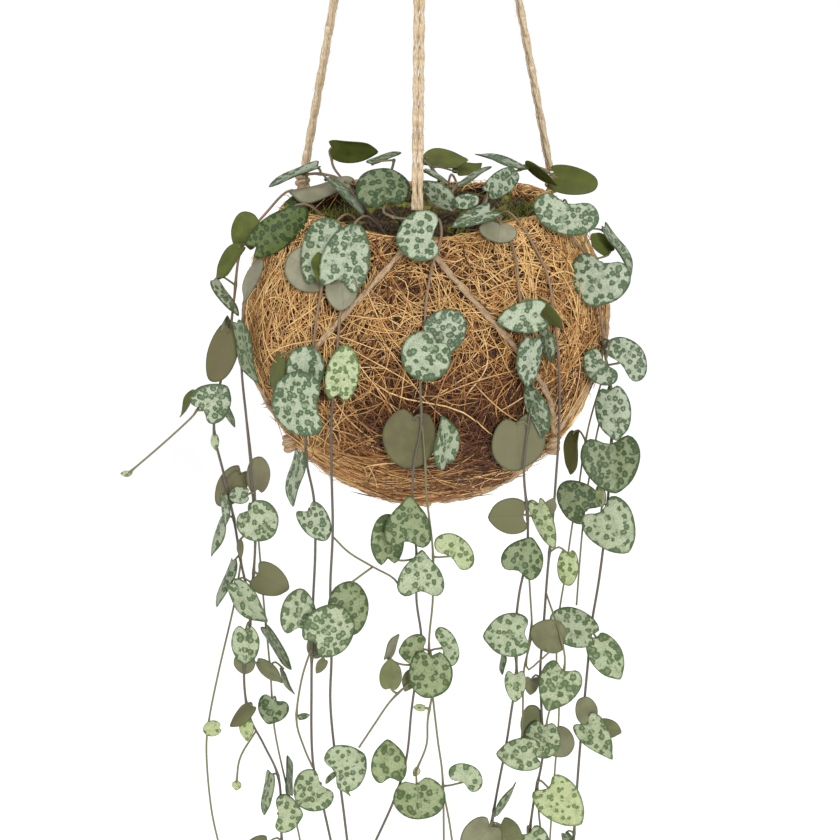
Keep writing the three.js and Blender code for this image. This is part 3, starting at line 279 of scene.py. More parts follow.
def smooth_line(points, step):
    """Even points along a curve through the given ones: on each span a cubic whose end slopes are half the
    chord between the neighbours, with one more point in line beyond each end."""
    p = np.asarray(points, float)
    p = np.vstack([2 * p[0] - p[1], p, 2 * p[-1] - p[-2]])
    t = np.linspace(0, 1, SPAN_STEPS, endpoint=False)[:, None]
    p0, p1, p2, p3 = p[:-3, None], p[1:-2, None], p[2:-1, None], p[3:, None]
    v0, v1 = (p2 - p0) / 2, (p3 - p1) / 2
    spans = (2 * p1 - 2 * p2 + v0 + v1) * t ** 3 + (3 * p2 - 3 * p1 - 2 * v0 - v1) * t ** 2 + v0 * t + p1
    fine = np.vstack([spans.reshape(-1, 3), p[-2]])
    far = run(fine)
    want = np.linspace(0, far[-1], max(3, int(round(far[-1] / step))) + 1)
    return np.stack([np.interp(want, far, fine[:, k]) for k in range(3)], axis=1)


def line_frame(path):
    """Right and up at each point of a path: square to its heading and to one steady direction, the one of
    thirteen that the path heads along least."""
    heading = unit(np.gradient(path, axis=0))
    grid = np.stack(np.meshgrid([-1, 0, 1], [-1, 0, 1], [0, 1], indexing="ij"), axis=-1).reshape(-1, 3)
    steady = unit(grid[np.any(grid != 0, axis=1)].astype(float))
    best = steady[np.argmin(np.max(np.abs(heading @ steady.T), axis=0))]
    right = unit(np.cross(heading, best))
    return right, np.cross(right, heading)


def run(path):
    """Distance along a path at each of its points."""
    return np.concatenate([[0], np.cumsum(np.linalg.norm(np.diff(path, axis=0), axis=1))])


def tube(pile, path, radius, sides, slot=0, **values):
    """Round tube: at each point of the path a ring, path + radius (cos a right + sin a up), closed at its
    ends. Its flat coordinates are the share of a turn and the run along it."""
    right, up = (v[:, None] for v in line_frame(path))
    a = turns(sides)
    spokes = np.cos(a)[None, :, None] * right + np.sin(a)[None, :, None] * up
    rings = path[:, None] + np.broadcast_to(radius, len(path))[:, None, None] * spokes
    places, fours, threes = closed_rings(rings, path[0], path[-1])
    far = run(path)
    flat = np.stack([np.tile(a / (2 * np.pi), len(path)), np.repeat(far, sides) / FLAT_UNIT], axis=1)
    flat = np.vstack([[0.5, 0], flat, [0.5, far[-1] / FLAT_UNIT]])
    for label, v in values.items():
        if np.ndim(v):
            values[label] = np.concatenate([[v[0]], np.repeat(v, sides), [v[-1]]])
    pile.add(places, fours, threes, slot, flat, **values)


def many_tubes(pile, paths, radii, **values):
    """Thin three-sided tubes, all at once: paths is tubes by points by 3, and radii tubes by points."""
    count, steps = paths.shape[:2]
    heading = unit(np.gradient(paths, axis=1))
    chord = unit(paths[:, -1] - paths[:, 0] + 1e-6)
    axis = np.where(np.abs(chord[:, 2:]) < 0.7, [[0.0, 0.0, 1.0]], [[1.0, 0.0, 0.0]])
    right = unit(np.cross(heading, axis[:, None]))
    up = np.cross(right, heading)
    a = np.array([0, 2, 4]) * np.pi / 3
    spin = np.cos(a)[:, None] * right[:, :, None] + np.sin(a)[:, None] * up[:, :, None]
    rings = paths[:, :, None] + radii[:, :, None, None] * spin
    places = rings.reshape(-1, 3)
    i = np.arange(3)
    j = (i + 1) % 3
    k = (np.arange(count)[:, None] * steps + np.arange(steps - 1)[None]).reshape(-1, 1) * 3
    fours = np.stack([k + i, k + 3 + i, k + 3 + j, k + j], axis=-1).reshape(-1, 4)
    first = np.arange(count)[:, None] * steps * 3
    last = first + (steps - 1) * 3
    threes = np.vstack([first + [0, 1, 2], last + [2, 1, 0]])
    one = volume(places[:3 * steps] - paths[0, 0], fours[:3 * (steps - 1)], threes[[0, count]])
    if one < 0:
        fours, threes = fours[:, ::-1], threes[:, ::-1]
    far = np.repeat(np.tile(np.linspace(0, 1, steps), count), 3)
    flat = np.stack([np.tile([0, 0.33, 0.66], count * steps), far], axis=1)
    spread = {n: np.repeat(np.broadcast_to(v, count), steps * 3) for n, v in values.items()}
    pile.add(places, fours, threes, 0, flat, **spread)


# Finishes


class Finish:
    """A material whose nodes are added and joined in short calls."""

    def __init__(self, name, roughness, **sockets):
        self.material = bpy.data.materials.new(name)
        self.material.use_nodes = True
        self.tree = self.material.node_tree
        self.shader = next(n for n in self.tree.nodes if n.type == "BSDF_PRINCIPLED")
        self.shader.inputs["Roughness"].default_value = roughness
        for label, value in sockets.items():
            self.shader.inputs[label.replace("_", " ")].default_value = value

    def give(self, socket, value):
        """Joins or sets a socket."""
        if isinstance(value, bpy.types.NodeSocket):
            self.tree.links.new(value, socket)
        elif hasattr(value, "__len__") and len(value) == 3 and socket.type == "RGBA":
            socket.default_value = (*value, 1)
        else:
            socket.default_value = value

    def node(self, kind, out=0, **given):
        """Adds a node, sets its named sockets and settings, and returns one of its outputs."""
        made = self.tree.nodes.new("ShaderNode" + kind)
        for label, value in given.items():
            name = label.replace("_", " ")
            if name in made.inputs:
                self.give(made.inputs[name], value)
            else:
                setattr(made, label, value)
        return made.outputs[out]

    def step(self, kind, items, out=0, **settings):
        """Adds a node with its settings, gives its numbered inputs, and returns one of its outputs."""
        made = self.tree.nodes.new("ShaderNode" + kind)
        for label, value in settings.items():
            setattr(made, label, value)
        for k, value in items.items():
            self.give(made.inputs[k], value)
        return made.outputs[out]

    def sum(self, kind, *parts):
        """One step of arithmetic."""
        return self.step("Math", dict(enumerate(parts)), operation=kind)

    def blend(self, share, a, b, kind="MIX"):
        """Mixes two colours."""
        return self.step("Mix", {0: share, 6: a, 7: b}, 2, data_type="RGBA", blend_type=kind)

    def between(self, value, low, high, to=(0.0, 1.0)):
        """Maps a value from low..high to the given range, with soft ends."""
        ends = dict(enumerate((value, low, high, *to)))
        return self.step("MapRange", ends, interpolation_type="SMOOTHSTEP")

    def fade(self, value, low, high, a, b, to=(0.0, 1.0)):
        """Mixes two colours by where a value lies between low and high."""
        return self.blend(self.between(value, low, high, to), a, b)

    def noise(self, vector, scale, detail, out=0, **given):
        """Soft noise over a vector: its value, or its colour from output 1."""
        return self.node("TexNoise", out, Vector=vector, Scale=scale, Detail=detail, **given)

    def value(self, name):
        """A point value of the piece."""
        return self.node("Attribute", 2, attribute_name=name)

    def flat(self):
        """The piece's flat coordinates."""
        return self.node("UVMap", uv_map="flat")

    def place(self):
        """Object coordinates, in metres."""
        return self.node("TexCoord", 3)

    def stretch(self, vector, scale):
        """Coordinates scaled along each axis."""
        return self.node("Mapping", Vector=vector, Scale=scale)

    def surface(self, tint, height=None, strength=0.0, distance=0.0):
        """Joins the colour and the bump to the shader."""
        self.give(self.shader.inputs["Base Color"], tint)
        if height is not None:
            bump = self.node("Bump", Height=height, Strength=strength, Distance=distance)
            self.give(self.shader.inputs["Normal"], bump)
        return self.material


def fibre_finish():
    """Coconut fibre: each fibre's tone from dark brown through red brown to gold, partly its own and partly
    painted light and shade, with fine darker lengths along it.
    """
    s, f = ball(), Finish("Coconut fibre", 0.62)
    speck = f.noise(f.place(), 900.0, 2.0)
    streak = f.noise(f.stretch(f.flat(), (1.0, 9.0, 1.0)), 3.0, 2.0)
    tone = f.value("tone")
    # Tones below nought, most of them in the spots low on the front, take a near-black brown: partly painted
    # shade.
    tint = f.fade(tone, -0.7, 0.05, linear("3a2110"), s.red)
    tint = f.fade(tone, 0.0, 0.55, tint, s.brown)
    tint = f.fade(tone, 0.45, 1.0, tint, s.gold)
    tint = f.fade(speck, 0.45, 0.8, tint, s.red, (0.0, 0.4))
    return f.surface(tint, streak, 0.3, 0.0002)


def skin_finish():
    """The matted wall behind the fibres: painted shade for the gaps, a near-black brown, crossed by stretched
    noise like packed short fibres.
    """
    s, f = ball(), Finish("Coconut fibre mat", 0.9)
    upright, level = (f.noise(f.stretch(f.place(), scale), 1.0, 3.0)
                      for scale in ((260.0, 260.0, 1400.0), (1300.0, 900.0, 240.0)))
    mesh = f.sum("MAXIMUM", upright, level)
    # Where the noise is low the wall takes the gap colour, painted shade between the fibres.
    tint = f.fade(mesh, 0.5, 0.72, s.gap, s.red)
    tint = f.fade(mesh, 0.66, 0.8, tint, s.brown, (0.0, 0.8))
    return f.surface(tint, mesh, 1.0, 0.0012)


def moss_finish():
    """Moss and soil: green cushions over brown, mixed by broad noise and by each tuft's own tone."""
    s, f = ball(), Finish("Moss and soil", 0.95)
    where = f.place()
    fine = f.noise(where, 700.0, 4.0)
    tint = f.fade(f.noise(where, 85.0, 3.0), 0.52, 0.66, s.soil_colour, s.moss)
    tint = f.fade(fine, 0.45, 0.75, tint, s.dry_moss)
    green = f.fade(f.value("tone"), 0.1, 0.9, s.dry_moss, s.moss)
    return f.surface(f.blend(f.value("tuft"), tint, green), fine, 0.9, 0.0012)


def soil_finish():
    """Dark, crumbly soil."""
    s, f = ball(), Finish("Soil", 0.97)
    crumbs = f.noise(f.place(), 420.0, 6.0)
    return f.surface(f.fade(crumbs, 0.35, 0.7, (0.012, 0.008, 0.006), s.soil_colour), crumbs, 1.0, 0.001)


def jute_finish():
    """Jute twine: pale fibres wound round each ply, with darker streaks and patches of painted shade meant
    for the gap between plies, and stains.
    """
    s, f = hanger(), Finish("Jute twine", 0.88)
    fibres = f.noise(f.stretch(f.flat(), (7.0, 1.3, 1.0)), 4.0, 4.0, Distortion=0.4)
    patch = f.noise(f.place(), 160.0, 3.0)
    # The shade colour is painted shade for the gap between plies, laid in streaks between the pale fibres and
    # in soft patches.
    tint = f.fade(fibres, 0.36, 0.66, s.shade, s.pale)
    tint = f.fade(patch, 0.42, 0.75, tint, s.shade, (0.0, 0.35))
    stain = f.sum("MULTIPLY", f.value("worn"), f.between(patch, 0.1, 0.6, (0.55, 1.0)))
    tint = f.blend(stain, tint, f.fade(fibres, 0.36, 0.66, linear("7d5d3e"), s.worn))
    return f.surface(tint, fibres, 0.8, 0.0004)


def leaf_face():
    """Leaf's face: silvery ground with dark blotches that crowd together at the rim, a fine pale midrib, and
    the leaf's own tone and youth, and its depth, which turns it to the deep colours, partly a deeper green
    and partly painted shade."""
    s, f = plant(), Finish("Leaf face", 0.55, Specular_IOR_Level=0.22)
    flat = f.flat()
    bent = f.blend(0.16, flat, f.noise(flat, 7.0, 3.0, 1, Roughness=0.6), "ADD")
    cell = f.node("TexVoronoi", 0, Vector=bent, Scale=3.5, Randomness=0.9)
    small = f.node("TexVoronoi", 0, Vector=bent, Scale=10.0, Randomness=1.0)
    grain, fray = f.noise(flat, 2.6, 2.0), f.noise(flat, 16.0, 3.0)
    rim, dark, youth = f.value("rim"), f.value("dark"), f.value("young")
    reach = f.sum("MULTIPLY_ADD", grain, 0.46, 0.25)
    reach = f.sum("MULTIPLY_ADD", fray, 0.3, f.sum("SUBTRACT", reach, 0.14))
    reach = f.sum("ADD", reach, f.between(rim, 0.85, 1.0, (0.0, 0.16)))
    reach = f.sum("MULTIPLY_ADD", f.value("tone"), 0.12, f.sum("SUBTRACT", reach, 0.03))
    reach = f.sum("MULTIPLY_ADD", youth, -0.2, reach)
    inside = f.sum("SUBTRACT", reach, cell)
    blotch = f.between(inside, -0.06, 0.07)
    core = f.between(inside, 0.14, 0.4, (0.0, 0.5))
    speck = f.between(f.sum("SUBTRACT", small, f.sum("MULTIPLY", grain, 0.42)), -0.06, 0.08, (0.5, 0.0))
    mask = f.sum("SUBTRACT", blotch, f.sum("MULTIPLY", core, f.between(rim, 0.6, 1.0, (1.0, 0.3))))
    mask = f.sum("MAXIMUM", mask, speck)
    rib = f.between(f.value("rib"), 0.0, 0.05, (0.6, 0.0))
    mask = f.sum("MULTIPLY", mask, f.sum("SUBTRACT", 1.0, rib))
    # The deep colours that dark mixes in are partly a deeper green and partly painted shade.
    light = f.blend(youth, f.blend(dark, s.silver, s.deep_and_shaded_silver), s.young)
    shade = f.blend(youth, f.blend(dark, s.blotch, s.deep_and_shaded_blotch), s.young_blotch)
    light = f.fade(fray, 0.35, 0.7, light, shade, (0.0, 0.35))
    light = f.fade(grain, 0.4, 0.7, light, shade, (0.0, 0.25))
    edge = f.blend(0.3, shade, linear("2c3f28"))
    tint = f.fade(rim, 0.9, 1.0, f.blend(mask, light, shade), edge, (0.0, 0.8))
    height = f.sum("MULTIPLY_ADD", mask, -0.5, f.sum("MULTIPLY", fray, 0.3))
    return f.surface(tint, height, 0.3, 0.0002)


def leaf_back():
    """Leaf's underside: olive to pale beige with faint veins and a darker rim."""
    s, f = plant(), Finish("Leaf underside", 0.6, Specular_IOR_Level=0.18)
    flat, pale = f.flat(), f.value("pale")
    cloud = f.noise(flat, 1.6, 4.0)
    warm = f.blend(f.value("tone"), linear("5a4f3a"), linear("6c6c48"))
    warm = f.blend(pale, warm, linear("86836d"))
    tint = f.fade(cloud, 0.36, 0.64, f.blend(pale, s.olive, s.beige), warm)
    green = f.fade(cloud, 0.35, 0.65, s.green_back, linear("4c5424"))
    tint = f.blend(f.value("young"), tint, green)
    tint = f.fade(f.value("rib"), 0.0, 0.03, tint, linear("5d5f3c"), (0.3, 0.0))
    tint = f.fade(f.value("rim"), 0.92, 1.0, tint, linear("454b2e"), (0.0, 0.7))
    return f.surface(tint, f.noise(flat, 12.0, 3.0), 0.2, 0.0002)


def stem_finish():
    """Stem: dark purplish brown, greener where young, paler where dry, with fine lengthwise grain."""
    s, f = plant(), Finish("Stem", 0.5, Specular_IOR_Level=0.4)
    grain = f.noise(f.stretch(f.flat(), (4.0, 5.0, 1.0)), 3.0, 3.0)
    tint = f.fade(grain, 0.35, 0.7, s.bark, linear("6b6056"))
    tint = f.blend(f.value("young"), tint, s.green_bark)
    return f.surface(f.blend(f.value("dry"), tint, linear("94795e")), grain, 0.3, 0.0002)


# The ball: the wall is sunk under its fibres and rough, and its rim dips at the front and rises in humps

SUNK, WALL_ROUGH = 0.9, 0.35
RIM_DIP, RIM_HUMP = 2.5, 2.2
FIBRE_STEPS = 9
FULL_TURN = 6.28

# Spots low on the front where the fibre turns redder and darker, partly its own redder colour and partly
# painted shade: x, height, half width, half height and strength
RED_AND_SHADE_SPOTS = [(9, -24, 46, 27, 0.45), (-22, -31, 11, 15, 0.4), (33, -22, 12, 17, 0.5), (20, -44, 16, 9, 0.35)]

# Name, seed, share of the full number, thickness, paleness, lowest and highest start, spread of the heading
# about level, range of lift, length, bend, and share that stands loose
FIBRE_LAYERS = [
    ("coir_fibres_under", 21, 1, 1, 0, -70.2, 56, 1.6, (-0.9, 0.3), 34, 1.3, 0),
    ("coir_fibres_over", 22, 1, 1, 0, -66, 52, 1.6, (-0.4, 0.8), 30, 1.6, 0.16),
    ("coir_fibres_band", 23, 0.67, 1, 0.1, -70.4, -40, 0.3, (-0.6, 1.2), 42, 0.5, 0.1),
    ("coir_straws", 24, 0.05, 1.35, 0.6, -52, 44, 1.6, (0.5, 1.6), 44, 0.22, 0),
]

# Number of moss tufts, how far from the axis they stand, their height, and the cushion's depth in the soil
TUFTS, TUFT_REACH, TUFT_HEIGHT = 2600, 49, (1.6, 4.4)
MOSS_FOOT = 5.6


def wrap_radius(azimuth, z):
    """Radius of the wrap: the ball's radius plus small sine swells round it, stronger towards the rim."""
    high = np.clip(z / mm(ball().rim), 0, 1)
    swell = 0.7 * np.sin(3 * azimuth + 0.6) * (1 - 0.4 * high) + 0.5 * np.sin(5 * azimuth + 2.1 + 0.05 * z)
    return mm(ball().radius) + swell + 0.8 * high * np.cos(2 * azimuth)


def rim_height(azimuth):
    """Height of the rim: it dips at the front and rises in four low humps between front, sides and back."""
    a = azimuth + np.pi / 2
    return mm(ball().rim) - RIM_DIP * np.maximum(np.cos(a), 0) ** 2 + RIM_HUMP * np.sin(2 * a) ** 2


def on_skin(d, lift):
    """Points over the wrap from directions d and heights lift: on the ball up to the rim, then over the rim
    on a half circle across the wall, then down inside."""
    azimuth = np.arctan2(d[..., 1], d[..., 0])
    r = wrap_radius(azimuth, mm(ball().radius) * d[..., 2])
    top = rim_height(azimuth) - 2
    z = r * d[..., 2]
    half = mm(ball().wall) / 2
    over = np.maximum(z - top, 0)
    turn = np.minimum(over / half, np.pi)
    edge = np.sqrt(r ** 2 - top ** 2)
    ring = edge - half + (half + lift) * np.cos(turn)
    rise = top + (half * 0.7 + lift) * np.sin(turn) - np.maximum(over - half * np.pi, 0)
    flat_ring = np.hypot(d[..., 0], d[..., 1]) * (r + lift)
    ring = np.where(z > top, ring, flat_ring)
    rise = np.where(z > top, rise, z + lift * d[..., 2])
    return polar(ring, azimuth, rise)


def lumps(p, seed, scale):
    """Soft noise at points p: a third of the sum of nine sine waves with seeded directions and phases."""
    random = np.random.default_rng(seed)
    total = np.zeros(p.shape[:-1])
    for _ in range(9):
        wave = random.normal(size=3)
        phase = p @ (wave / np.linalg.norm(wave)) / scale * random.uniform(0.6, 1.6)
        total += np.sin(phase + random.uniform(0, FULL_TURN))
    return total / 3


def damp(p):
    """How red and dark the fibre is: soft spots low on the front, partly the fibre's redder colour and partly
    painted shade, and weaker random patches elsewhere.
    """
    patch = sum(deep * np.exp(-((p[..., 0] - x) / wide) ** 2 - ((p[..., 2] - z) / tall) ** 2)
                for x, z, wide, tall, deep in RED_AND_SHADE_SPOTS) * (p[..., 1] < 0)
    return patch + 0.35 * np.clip(lumps(p, 5, 16), 0, 1)


def make_coir_skin():
    """The wall of the ball: rings from the bottom pole up the outside, over the rim and down the inside, sunk
    under the fibres and roughened by soft noise."""
    inside = mm(ball().radius) - mm(ball().wall)

    def directions(first, last, count):
        lat = np.radians(np.linspace(first, last, count))[:, None]
        return polar(np.cos(lat), turns(160), np.sin(lat))

    outer, inner = on_skin(directions(-88, 66, 92), -SUNK), directions(24, -86, 26) * inside
    outer += unit(outer) * (WALL_ROUGH * lumps(outer, 3, 1.6))[..., None]
    foot, well = np.array([0, 0, SUNK - mm(ball().radius)]), np.array([0, 0, -inside])
    pile = Pile()
    pile.add(*closed_rings(np.vstack([outer, inner]), foot, well))
    pile.piece("coir_wall", [skin_finish()], ["coir_wrap"], "coir")


def fibre_lines(count, seed, low, high, level, lift, length, curl, fly):
    """Curved lines on the ball: each starts at a seeded place, heads at a seeded angle that turns along it,
    is laid out flat by summing short steps, and is wrapped on the ball along great circles from its start."""
    random = np.random.default_rng(seed)
    z = random.uniform(low, high, count) / mm(ball().radius)
    a = random.uniform(0, 2 * np.pi, count)
    start = polar(np.sqrt(1 - z ** 2), a, z)
    east = np.stack([-np.sin(a), np.cos(a), 0 * a], axis=-1)
    north = np.cross(start, east)
    span = length * random.uniform(0.55, 1.45, count)
    heading = np.where(random.random(count) < 0.5, 0, np.pi) + random.normal(0, level, count)
    bend = random.normal(0, curl, count)
    s = np.linspace(0, 1, FIBRE_STEPS)
    angle = heading[:, None] + bend[:, None] * s
    angle = angle + random.normal(0, 0.35, count)[:, None] * np.sin(s * random.uniform(4, 9, count)[:, None])
    step = span[:, None] / (FIBRE_STEPS - 1)
    x = np.cumsum(step * np.cos(angle), axis=1)
    y = np.cumsum(step * np.sin(angle), axis=1)
    x, y = x - x.mean(axis=1, keepdims=True), y - y.mean(axis=1, keepdims=True)
    far = np.hypot(x, y) + 1e-9
    turn = (far / mm(ball().radius))[..., None]
    flat = (x[..., None] * east[:, None] + y[..., None] * north[:, None]) / far[..., None]
    d = np.cos(turn) * start[:, None] + np.sin(turn) * flat
    rise = random.uniform(*lift, count)[:, None] + random.uniform(0, 0.6, count)[:, None] * np.sin(np.pi * s)
    loose = (random.random(count) < fly) * random.uniform(1.2, 4.2, count)
    p = on_skin(d, rise + loose[:, None] * s ** 3)
    middle = p[:, FIBRE_STEPS // 2]
    sides = ease((np.hypot(middle[:, 0], 0.6 * middle[:, 1]) - 22) / 30)
    # Tone: the fibre's own random tone and patches; lower and redder in the spots low on the front, partly
    # painted shade; higher, as painted light, towards the top and the left and right sides; lower, as painted
    # shade, near the bottom.
    tone = 0.48 + 0.4 * random.normal(size=count) - 1.1 * damp(middle) + 0.24 * sides
    tone = tone + 0.1 * lumps(middle, 6, 9) + 0.2 * ease((middle[:, 2] + 10) / 50)
    return p, np.clip(tone, -0.7, 1), random


def make_coir_fibres():
    """Layers of fibres: a sunken layer, a loose top layer, a band of level fibres round the bottom, and a few
    thick, straight, pale straws over them. Each fibre is thickest in its middle."""
    finish = fibre_finish()
    for name, seed, share, thick, pale, *shape in FIBRE_LAYERS:
        count = int(ball().fibres * share)
        p, tone, random = fibre_lines(count, seed, *shape)
        s = np.linspace(-1, 1, FIBRE_STEPS)
        radii = thick * mm(ball().fibre) * random.uniform(0.6, 1.35, count)[:, None] * (1 - 0.6 * s ** 6)
        pile = Pile("tone")
        many_tubes(pile, p, radii, tone=tone + pale)
        pile.piece(name, [finish], (), "coir")


def moss_height(x, y):
    """Height of the moss: a low dome over the soil with small swells, banked up to the rim at the right and
    back."""
    far = np.hypot(x, y)
    swell = 1.2 * np.sin(x * 0.16 + 1) * np.cos(y * 0.19)
    bank = 5 * ease((far - 30) / 16) * ease((x + 0.8 * y + 20) / 40)
    return mm(ball().soil) + 3.5 * (1 - (far / 55) ** 2) + swell + bank


def make_moss():
    """Moss cushion: rings out from the middle on the dome, roughened, closed by a flat underside, with short
    curved tufts standing on it."""
    a = turns(96)
    level = mm(ball().soil) + 1
    edge = np.sqrt((wrap_radius(a, level) - mm(ball().wall) - 0.4) ** 2 - level ** 2)
    share = np.linspace(0.03, 1, 40)[:, None]
    p = polar(share * edge, a, 0.0)
    p[..., 2] = moss_height(p[..., 0], p[..., 1])
    p[..., 2] += 0.9 * lumps(p, 8, 2.2) * (1 - share ** 8) + 0.4 * lumps(p, 9, 0.8) - 0.4
    foot = np.array([0, 0, mm(ball().soil) - MOSS_FOOT])
    rings = np.vstack([p, p[-1:] * [0.98, 0.98, 0] + foot])
    pile = Pile("tone", "tuft")
    pile.add(*closed_rings(rings, p[0].mean(axis=0), foot))
    random, count = np.random.default_rng(41), TUFTS
    turn, reach = random.uniform(0, 2 * np.pi, count), TUFT_REACH * np.sqrt(random.random(count))
    base = polar(reach, turn, 0.0)
    base[:, 2] = moss_height(base[:, 0], base[:, 1]) - 0.8
    green = lumps(base, 12, 7) + 1.1 * ease((abs(base[:, 0]) - 14) / 22) > 0.55
    lean = random.normal(0, 0.55, (count, 2))
    tall = (random.uniform(*TUFT_HEIGHT, count) * np.where(green, 1, 0.55))[:, None, None]
    s = np.linspace(0, 1, 4)[None, :, None]
    curve = np.concatenate([lean[:, None] * tall * s ** 2, tall * s], axis=-1)
    radii = random.uniform(0.14, 0.3, count)[:, None] * (1 - 0.75 * s[..., 0])
    tone = np.where(green, random.uniform(0.5, 1, count), 0.1)
    many_tubes(pile, base[:, None] + curve, radii, tuft=1.0, tone=tone)
    pile.piece("moss_cushion", [moss_finish()], ["moss_top"], "moss")
    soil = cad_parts["root_ball"].data.materials
    soil.clear()
    soil.append(soil_finish())


# The hanger: its turn about the axis, the legs' spread and depth at the top knot, how far beside each other a
# leg's strands run, in strands, and how far the cords stop from the middles of the rim knots and low knots

SWING = -0.046
LEG_SPREAD, LEG_DEPTH, BESIDE = 2.6, 7.5, 0.44
LEG_PAST, NET_TOP, NET_END = 5.5, 5.9, 6.2
BASE_START, BASE_END = -np.arcsin(0.68), -1.468
LOOP_RADIUS, LOOP_REACH, LOOP_FOOT = 1.9, 9.5, 8.3

# Loose hairs of the twine: radius, shortest and longest
HAIR_RADIUS, HAIR_LENGTH = 0.075, (1.5, 4.5)

# Half width, half height and stain of each kind of knot
KNOTS = {"rim_knot": (3.4, 5, 0.3), "low_knot": (3.2, 4.6, 0.7), "base_knot": (4.6, 3.2, 0.6),
         "top_knot": (5, 8, 0)}
LEG_TURNS = {"front": SWING, "right": SWING + 2 * np.pi / 3, "left": SWING - 2 * np.pi / 3}
HANDS = {"a": -1, "b": 1}


def on_ball(turn, z, lift):
    """Points over the ball at turns from the front, at heights z, lifted off the wrap."""
    a = turn - np.pi / 2
    return polar(np.sqrt(np.maximum((wrap_radius(a, z) + lift) ** 2 - z ** 2, 0)), a, z)


def by_latitude(turn, lat, lift):
    """Points over the ball at turns from the front and latitudes, lifted off the wrap."""
    a = turn - np.pi / 2
    r = wrap_radius(a, mm(ball().radius) * np.sin(lat)) + lift
    return polar(r * np.cos(lat), a, r * np.sin(lat))


def twine(jute, name, path, radius, worn, seed, fuzz=0.35):
    """A twine over the cord of its name: two plies wound round its line, each ply's line the path plus 0.36
    of the radius, turning once each pitch, and short loose hairs that leave it at seeded places."""
    pile = Pile("worn")
    path = smooth_line(path, 1.0)
    far = run(path)
    right, up = line_frame(path)
    for ply in (0, 1):
        a = (far / mm(hanger().pitch) * 2 * np.pi + ply * np.pi)[:, None]
        line = path + 0.36 * radius * (np.cos(a) * right + np.sin(a) * up)
        tube(pile, line, 0.78 * radius * (1 + 0.06 * np.sin(far * 1.7 + seed + ply)), 7, worn=worn)
    random = np.random.default_rng(abs(seed) * 7 + 100)
    count = max(4, int(far[-1] * fuzz))
    at = random.integers(1, len(path) - 1, count)
    a = random.uniform(0, 2 * np.pi, count)[:, None]
    out = (np.cos(a) * right[at] + np.sin(a) * up[at])[:, None]
    along = (unit(np.gradient(path, axis=0))[at] * random.choice([-1, 1], count)[:, None])[:, None]
    long = random.uniform(*HAIR_LENGTH, count)[:, None, None]
    bend = random.uniform(0.05, 0.5, count)[:, None, None]
    s = np.linspace(0, 1, 5)[None, :, None]
    hair = path[at][:, None] + radius * 0.8 * out + long * s * (0.9 * along + bend * s * out)
    many_tubes(pile, hair, np.full((count, 5), HAIR_RADIUS) * (1 - 0.5 * s[..., 0]), worn=worn)
    pile.piece(f"{name}_twine", jute, [name], "jute")


def knot(jute, kind, name, centre, seed):
    """Wraps over the knot of its name: a strand wound up round an oval core, its ring radius following the
    oval, tilted a little to either side at each turn, with a core that fills it."""
    pile, strand = Pile("worn"), mm(hanger().strand)
    wide, tall, worn = KNOTS[kind]
    reach = wide - strand * 0.55
    rounds = max(3, round(2 * tall / (strand * 1.55)))
    s = np.linspace(0, 1, int(rounds * 26))
    a = 2 * np.pi * rounds * s + seed
    oval = np.sqrt(np.maximum(1 - (1.7 * (s - 0.5)) ** 2, 0.02))
    z = (tall - strand * 0.5) * (2 * s - 1) + 0.5 * np.sin(a) * np.sign(np.sin(np.pi * rounds * s))
    path = centre + polar(reach * oval, a, z)
    tube(pile, smooth_line(path[::3], 0.7), strand * 0.5, 8, worn=worn)
    lat = np.radians(np.linspace(-80, 80, 9))[:, None]
    pole = np.array([0, 0, tall - 0.6])
    core = polar(reach * 0.95 * np.cos(lat), turns(16), pole[2] * np.sin(lat)) + centre
    places, fours, threes = closed_rings(core, centre - pole, centre + pole)
    pile.add(places, fours, threes, worn=worn)
    pile.piece(f"{name}_wraps", jute, [name], "jute")


def apex():
    """Middle of the top knot."""
    return np.array([0, 0, mm(ball().drop - hanger().top_knot)])


def rim_knot(turn):
    """Middle of a rim knot."""
    return polar(mm(hanger().knot_reach), turn - np.pi / 2, mm(hanger().knot_rise))


